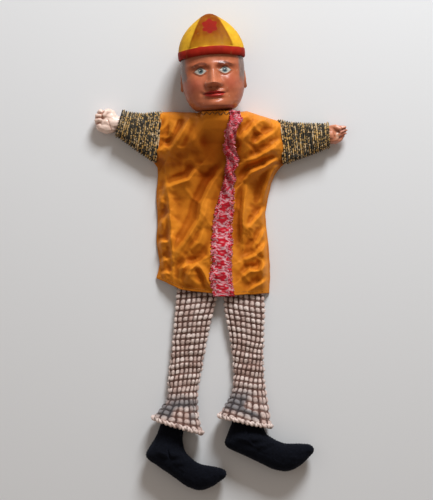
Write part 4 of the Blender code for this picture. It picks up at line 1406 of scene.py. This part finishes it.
def build_hand(side):
    """A carved hand: balls along each finger, melted together and smoothed."""
    chains = HAND_CHAINS[side]
    made = bmesh.new()
    for chain in chains:
        for (ax, ay, az, ar), (bx, by, bz, br) in zip(chain, chain[1:]):
            a, b = Vector((ax, ay, az)), Vector((bx, by, bz))
            steps = max(2, int((b - a).length / 0.9))
            for k in range(steps + 1):
                t = k / steps
                place, radius = a.lerp(b, t), ar + (br - ar) * t
                ball = bmesh.ops.create_icosphere(made, subdivisions=2, radius=radius)["verts"]
                bmesh.ops.translate(made, verts=ball, vec=place)
    mesh = bpy.data.meshes.new(f"hand_{side}")
    made.to_mesh(mesh)
    made.free()
    hand = link(f"carved_hand_{side}", mesh)
    melted(hand, 0.6, 5)
    co, normal = vertex_data(hand.data, "co"), vertex_data(hand.data, "normal")
    fields = np.stack([chain_field(co, chain) for chain in chains[4:]])
    order = np.sort(fields, axis=0)
    groove = smooth(1.9, 0.2, order[1] - order[0]) * smooth(1.8, 0.3, order[0])
    crease = np.zeros(len(co))
    sign = -1 if side == "right" else 1
    for palm_x, lean in ((124.0, 0.35), (128.5, -0.25)):
        line = co[:, 0] - sign * palm_x + lean * (co[:, 1] - np.mean(co[:, 1]))
        crease += ridge_line(line, 0, 0.7) * (normal[:, 2] > 0.3) * smooth(2.5, 4.0, order[0])
    co = co - normal * (1.0 * groove + 0.55 * crease + 0.2 * cloudy(co, 2.5, 120))[:, None]
    co[:, 2] = np.maximum(co[:, 2], 0.3)
    hand.data.vertices.foreach_set("co", (co * MM).ravel())
    base, deep, pale_and_lit = HAND_COLOURS[side]
    # Painted light and shade: paler on faces turned upwards, darker in the grooves between the fingers, in
    # the palm's creases and near the table; the random tone and pale patches are the paint's own.
    paint_mesh(hand.data, layered(
        base,
        (pale_and_lit, 0.3 + 0.5 * cloudy(co, 5.0, 121) + 0.25 * normal[:, 2]),
        (deep, 0.85 * groove + 0.6 * crease),
        (deep, 0.5 * smooth(5.5, 2.0, co[:, 2])),
        (np.array((0.70, 0.52, 0.38)), 0.45 * smooth(0.5, 0.7, noise(co, 2.2, 122))),
    ))
    hand.data.shade_smooth()
    hand.data.materials.append(HAND)
    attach(hand, f"hand_{side}")
    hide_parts(f"hand_{side}")


# ---- trousers --------------------------------------------------------------------------------

# Each section is one edge, the other edge, the lowest and the highest z
TROUSERS = {
    "right": (
        ((-48.5, -35), (-7, -37), 3.4, 8.0), ((-49.4, -45), (-4.6, -46), 2.4, 9.4),
        ((-50.4, -62), (-7.8, -62), 1.0, 12.0), ((-51.8, -82), (-13.0, -82), 0.5, 11.6),
        ((-53.6, -104), (-17.6, -104), 0.4, 11.4),
        ((-55.4, -124), (-21.0, -124), 0.4, 11.6), ((-57.0, -142), (-24.4, -142), 0.4, 12.6),
        ((-57.8, -156), (-27.0, -158), 0.4, 15.5), ((-61.5, -166), (-27.0, -170), 0.4, 20.5),
        ((-67.5, -173), (-25.0, -182), 0.5, 27.0), ((-73.6, -179.0), (-21.0, -196.0), 0.8, 31.5),
    ),
    "left": (
        ((3.0, -37), (45.6, -37), 3.4, 7.6), ((2.4, -46), (47.0, -46), 2.4, 9.0),
        ((3.8, -62), (48.4, -62), 1.0, 12.0), ((7.6, -82), (47.2, -82), 0.5, 11.6),
        ((11.4, -100), (46.4, -100), 0.4, 11.4),
        ((13.4, -118), (46.2, -118), 0.4, 11.6), ((14.2, -136), (46.8, -134), 0.4, 12.6),
        ((12.8, -152), (48.0, -148), 0.4, 15.5), ((9.0, -162), (49.4, -161), 0.4, 20.5),
        ((3.6, -170), (51.6, -174), 0.5, 27.0), ((-1.4, -177.0), (54.6, -188.8), 0.8, 31.5),
    ),
}
DOT_ALONG, DOTS_AROUND = 6.6, 16
TROUSER_CUT = -62.0  # where the upper and lower piece of a leg meet
GROUND = np.array((0.085, 0.036, 0.026))
DOT_PALE = np.array((0.80, 0.66, 0.60))
DOT_PINK = np.array((0.46, 0.27, 0.22))
TINT = np.array((0.10, 0.115, 0.135))
# how far the rows of each leg lean, and how much the leg is twisted below the knee
LEAN = {"right": (0.10, 0.6), "left": (-0.16, -2.2)}


def build_trouser(side):
    rows, sides = 330, 176
    spot, out, middle, at, around, whole = limb_grid(TROUSERS[side], rows, sides, 0.8)
    lean, twisted = LEAN[side]
    aside = spot[..., 0] - middle[..., 0]
    v = at[:, None] + 1.6 * noise(spot, 20.0, 131) + lean * aside
    u = around / whole * DOTS_AROUND + 0.22 * noise(spot, 12.0, 132)
    u = u + twisted * smooth(0.3, 0.8, at / at[-1])[:, None]
    row = v / DOT_ALONG
    fu, fv = (u % 1) - 0.5, (row % 1) - 0.5
    cell = hashed(np.floor(u) + 40, np.floor(row) + 40, 0 * u, 133)
    wide = 0.39 + 0.04 * cell
    tall = 0.41 + 0.03 * hashed(np.floor(row) + 7, np.floor(u) + 7, 0 * u, 130)
    puff = np.clip(1 - np.abs(fu / wide) ** 2.4 - np.abs(fv / tall) ** 2.8, 0, 1) ** 0.5
    loop = 0.5 + 0.5 * np.cos(2 * np.pi * (fu * 3.2 + 0.25 * np.abs(fv)))
    rib = 0.5 + 0.5 * np.cos(2 * np.pi * row * 4)
    relief = puff * (1.75 + 0.35 * cell + 0.22 * loop) + 0.16 * rib * (1 - puff)
    relief = relief + 0.18 * noise(spot, 1.1, 134)
    slack = 0.8 * cloudy(spot, 18.0, 135)
    end = at[-1]
    flared = smooth(end - 46, end - 14, v) * smooth(end, end - 22, v)
    gather = 1.5 * np.cos(2 * np.pi * (around / whole) * 7 + 1.0) * flared
    pinch = np.cos(2 * np.pi * v / 15.0 + 2.2 * noise(spot, 16.0, 136))
    pinch = 0.9 * pinch * ridge_line(v, end * 0.62, 34.0)
    moved = spot + out * (relief + slack + gather + pinch * (out[..., 2] > 0) - 0.6)[..., None]
    moved[..., 2] = np.maximum(moved[..., 2], 0.15 + 0.1 * puff)

    tone = np.clip(0.5 + 0.5 * cell + 0.35 * noise(spot, 12.0, 137), 0, 1)
    dot = mix(DOT_PINK, DOT_PALE, 0.35 + 0.65 * tone)
    streak = noise(spot * np.array((1.0, 0.35, 1.0)), 0.9, 138)
    # Painted highlights: the ground is lighter on its ribs' crests, and below, each dot is lighter on its
    # raised loops; the streaks are random yarn tone.
    ground = mix(GROUND, DOT_PINK, (np.abs(fu) < 0.33) * 0.35 + 0.15 * rib)
    colours = mix(ground, dot, smooth(0.1, 0.5, puff))
    colours = colours * (0.86 + 0.2 * streak + 0.12 * loop * puff)[..., None]
    stained = smooth(end - 40, end - 20, v) * smooth(end - 1, end - 10, v)
    stained = stained * smooth(-0.25, 0.45, noise(spot, 15.0, 139) + 0.22 - 0.9 * aside / 22)
    colours = mix(colours, colours * 0.15 + TINT * (0.25 + 0.6 * puff[..., None]), 0.95 * stained)
    skin, paint, faces = lined(moved, out, 1.6, 1.0, colours, 0.5)
    flat, paint = skin.reshape(-1, 3), paint.reshape(-1, 3)
    normals = vertex_normals(flat, faces)
    outside = rows * sides
    if ((flat[:outside].reshape(rows, sides, 3) - middle).reshape(-1, 3) * normals[:outside]).sum() < 0:
        faces, normals = faces[:, ::-1], -normals
    height = flat[faces].mean(1)[:, 1]
    hip = split_piece(f"trouser_top_{side}", flat, faces, height > TROUSER_CUT, TROUSER, normals, paint)
    leg = split_piece(f"trouser_leg_{side}", flat, faces, height <= TROUSER_CUT, TROUSER, normals, paint)
    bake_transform(hip)
    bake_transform(leg)
    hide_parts(f"trouser_upper_{side}")
    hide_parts(f"trouser_lower_{side}")
    build_rope(side, moved[-1])


def build_rope(side, rim):
    """The rolled pale edge of a cuff: two strands laid round its rim."""
    count, sides, bump_length = 520, 12, 5.4
    line, at, whole = evenly(rim, count)
    line = softened(line, 60)
    along = np.roll(line, -1, 0) - np.roll(line, 1, 0)
    along /= np.linalg.norm(along, axis=1, keepdims=True)
    one, other = TROUSERS[side][-1][:2]
    edge = np.array((other[0] - one[0], other[1] - one[1]))
    down = np.array((edge[1], -edge[0], 0.0)) / np.linalg.norm(edge)
    if down[1] > 0:
        down = -down
    out = np.cross(along, down)
    if ((line - line.mean(0)) * out).sum() < 0:
        out = -out
    turn = 2 * np.pi * round(whole / bump_length) * at / whole
    angle = full_turn(sides)
    points, paints = [], []
    for strand in (0.0, np.pi):
        wave = turn / 2 + strand
        lower, wider = (1.9 + 0.9 * np.cos(wave))[:, None], (0.35 + 0.9 * np.sin(wave))[:, None]
        centre = line + down * lower + out * wider
        radius = (1.75 + 0.15 * np.cos(2 * wave))[:, None, None]
        spoke = down * np.cos(angle)[:, None] + out[:, None] * np.sin(angle)[:, None]
        ring = centre[:, None] + radius * spoke
        ring = ring + 0.16 * noise(ring, 1.0, 141)[..., None]
        points.append(ring)
        tone = mix(DOT_PALE, DOT_PINK, 0.2 + 0.5 * noise(ring, 7.0, 142))
        dark = smooth(0.2, 0.8, noise(xyz(turn * 0.7, 0, 0), 2.0, 143 + int(strand)))
        paints.append(mix(tone, GROUND, 0.6 * dark[:, None]))
    faces = grid_faces(count, sides, wrap_rows=True, wrap_columns=True)
    faces = np.concatenate([faces, faces + count * sides])
    points = np.concatenate(points)
    points[..., 2] = np.maximum(points[..., 2], 0.2)
    rope = mesh_piece(f"cuff_rope_{side}", points, faces, TROUSER, np.concatenate(paints))
    edit_faces(rope)
    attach(rope, f"shin_{side}")
    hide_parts(f"trouser_welt_{side}")


# ---- shoes -----------------------------------------------------------------------------------

SHOE_OUTLINE = (
    (-17.0, 8.0), (-24.2, -10.5), (-25.6, -16.0), (-22.5, -21.5), (-6.6, -29.0), (13.2, -38.2),
    (28.0, -45.2), (43.0, -47.4), (56.0, -41.9), (67.5, -31.5), (72.2, -24.4), (69.0, -18.8),
    (58.0, -17.2), (40.0, -16.9), (28.0, -11.9), (19.5, -5.2), (14.0, 8.0),
)
SHOES = {
    "right": ((-56.4, -210.3), -10, 0.93, 26.0),
    "left": ((29.8, -192.5), 0, 1.0, 18.0),
}
SHOE_SPINE = (
    (-4.0, 2.0), (-3.5, -10.0), (6.0, -20.0), (22.0, -28.5), (38.0, -31.5), (54.0, -29.5), (64.0, -24.5),
)
SHOE_FOLDS = (
    (((24, -6), (12, -10), (-2, -12), (-16, -8)), 1.8, 2.6, 1.0),
    (((28, -12), (18, -18), (8, -19)), 1.3, 2.4, 0.9),
)
SHOE_MIDDLE = 15.0


def closed_curve(corners, count):
    """Evenly spaced points on a smooth closed curve through the corners."""
    corners = np.array(corners, float)
    n = len(corners)
    at = np.linspace(0, n, count * 6, endpoint=False)
    i = at.astype(int)
    t = (at - i)[:, None]
    p0, p1, p2, p3 = (corners[(i + k) % n] for k in (-1, 0, 1, 2))
    curve = p1 * 2 + (p2 - p0) * t + (p0 * 2 - p1 * 5 + p2 * 4 - p3) * t**2
    curve = (curve + (p1 * 3 - p0 - p2 * 3 + p3) * t**3) / 2
    return evenly(curve, count)[0]


def fuzz_points(shoe):
    """Felt's uneven pile, on the shoe's finished form."""
    mesh = shoe.data
    co, normal = vertex_data(mesh, "co") / MM, vertex_data(mesh, "normal")
    co = co + normal * (0.22 * noise(co, 1.3, 153) + 0.3 * noise(co, 4.0, 154))[:, None]
    co[:, 2] = np.maximum(co[:, 2], 0.15)
    mesh.vertices.foreach_set("co", (co * MM).ravel())
    mesh.shade_smooth()


def build_shoe(side):
    """Two felt halves sewn round their edge and stuffed."""
    ankle, turn, size, shaft = SHOES[side]
    outline = closed_curve(SHOE_OUTLINE + ((11.5, shaft), (-1.0, shaft + 1.5), (-13.0, shaft)), 260)
    spine = np.array(((-3.0, shaft - 6.0), *SHOE_SPINE))
    rings = 46
    share = np.linspace(0, 1, rings)
    fine = []
    for a, b in zip(spine, spine[1:]):
        fine += [a + (b - a) * t for t in np.linspace(0, 1, 12, endpoint=False)]
    fine = np.array(fine + [spine[-1]])
    nearest = np.array([fine[np.argmin(np.linalg.norm(fine - p, axis=1))] for p in outline])
    nearest = softened(nearest, 30)
    reach = np.linalg.norm(outline - nearest, axis=1)
    flat = nearest[None] + (outline - nearest)[None] * np.sin(share * np.pi / 2)[:, None, None]
    puff = np.cos(share * np.pi / 2)[:, None] ** 0.9
    thick = np.minimum(14.4, 2.5 + reach * 0.86)[None, :]
    thick = thick * (1 - 0.36 * smooth(-14.0, 4.0, flat[..., 1]))
    lift = puff * thick
    spot = xyz(flat[..., 0], flat[..., 1], lift)
    lumps = 0.9 * cloudy(spot, 13.0, 151) * puff
    fold_line = sum(fold(flat[..., 0], flat[..., 1], *one) for one in SHOE_FOLDS)
    fuzz = 0.16 * noise(spot, 1.0, 152)
    top = lift + (lumps + fold_line) * puff + fuzz
    turn = math.radians(turn)
    c, s = math.cos(turn), math.sin(turn)  # the drawn shoe turns and scales about its ankle
    x = ankle[0] + size * (flat[..., 0] * c - flat[..., 1] * s)
    y = ankle[1] + size * (flat[..., 0] * s + flat[..., 1] * c)
    upper = xyz(x, y, SHOE_MIDDLE + np.maximum(top, 0.05))
    table_gap = np.where(lift > 12.6, 0.2, 0.15)
    under = SHOE_MIDDLE - np.maximum(lift + lumps * 0.6 + fuzz, 0.05)
    lower = xyz(x, y, np.maximum(under, table_gap))
    skin = np.concatenate([upper, lower[-2::-1]])
    count = skin.shape[1]
    faces = grid_faces(len(skin), count, wrap_columns=True)
    shoe = mesh_piece(f"felt_shoe_{side}", skin, faces, FELT)
    close_ends(shoe, count)
    melted(shoe, 0.75 * MM, 6)
    fuzz_points(shoe)
    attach(shoe, f"foot_{side}")
    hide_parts(f"shoe_outer_{side}", f"shoe_inner_{side}", f"shoe_stuffing_{side}")

    paths = []
    for k in range(0, count, 3):
        one, two = skin[rings - 1, k], skin[rings - 1, (k + 2) % count]
        if one[1] > ankle[1] + 16:
            continue
        along = (two - one) / max(np.linalg.norm(two - one), 1e-6)
        out = np.array((along[1], -along[0], 0.0))
        t = np.linspace(-1, 1, 7)[:, None]
        arc = (one + two) / 2 + along * t * 0.7 - out * (1.9 * np.abs(t) ** 2 - 0.35)
        paths.append(arc + np.array((0, 0, 1.0)) * t * 2.4)
    seam = strands(f"shoe_seam_{side}", paths, 0.3, SEAM, 5)
    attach(seam, f"foot_{side}")


for name in ("right", "left"):
    build_knit_sleeve(name)
    build_hand(name)
    build_trouser(name)
    build_shoe(name)

# ---- stage -------------------------------------------------------------------------------


def build_stage():
    floor_surface = bpy.data.materials.new("pale_floor")
    floor_surface.use_nodes = True
    shader = floor_surface.node_tree.nodes["Principled BSDF"]
    shader.inputs["Base Color"].default_value = (0.74, 0.74, 0.745, 1)
    shader.inputs["Roughness"].default_value = 0.75
    mesh = bpy.data.meshes.new("floor")
    reach = 3.0
    corners = [(-reach, -reach, 0), (reach, -reach, 0), (reach, reach, 0), (-reach, reach, 0)]
    mesh.from_pydata(corners, [], [(0, 1, 2, 3)])
    floor = link("floor", mesh)
    floor.data.materials.append(floor_surface)

    world = bpy.data.worlds.new("studio")
    bpy.context.scene.world = world
    world.use_nodes = True
    sky = world.node_tree.nodes["Background"]
    sky.inputs["Color"].default_value = (1.0, 0.85, 0.73, 1)
    sky.inputs["Strength"].default_value = 0.27

    for name, place, size, power in (
        ("window", (0.45, 1.58, 1.0), 0.6, 43.0),
        ("fill", (-0.9, 0.3, 1.6), 1.4, 2.0),
    ):
        lamp = bpy.data.lights.new(name, "AREA")
        lamp.size = size
        lamp.energy = power
        lamp.color = (0.92, 0.965, 1.0)
        holder = link(name, lamp)
        holder.location = place
        holder.rotation_euler = (Vector((0, 0, 0)) - Vector(place)).to_track_quat("-Z", "Y").to_euler()


def build_camera():
    """Straight above the puppet: the picture's height covers 550 mm of the table."""
    lens = bpy.data.cameras.new("camera")
    holder = link("camera", lens)
    distance, seen, aim_height, sensor = 2.4, 0.55, 0.015, 24.0
    holder.location = (-0.005, 0.0033, distance + aim_height)
    lens.sensor_fit = "VERTICAL"
    lens.sensor_height = sensor
    lens.lens = sensor * distance / seen
    bpy.context.scene.camera = holder
    bpy.context.scene.view_settings.view_transform = "Standard"


build_stage()
build_camera()
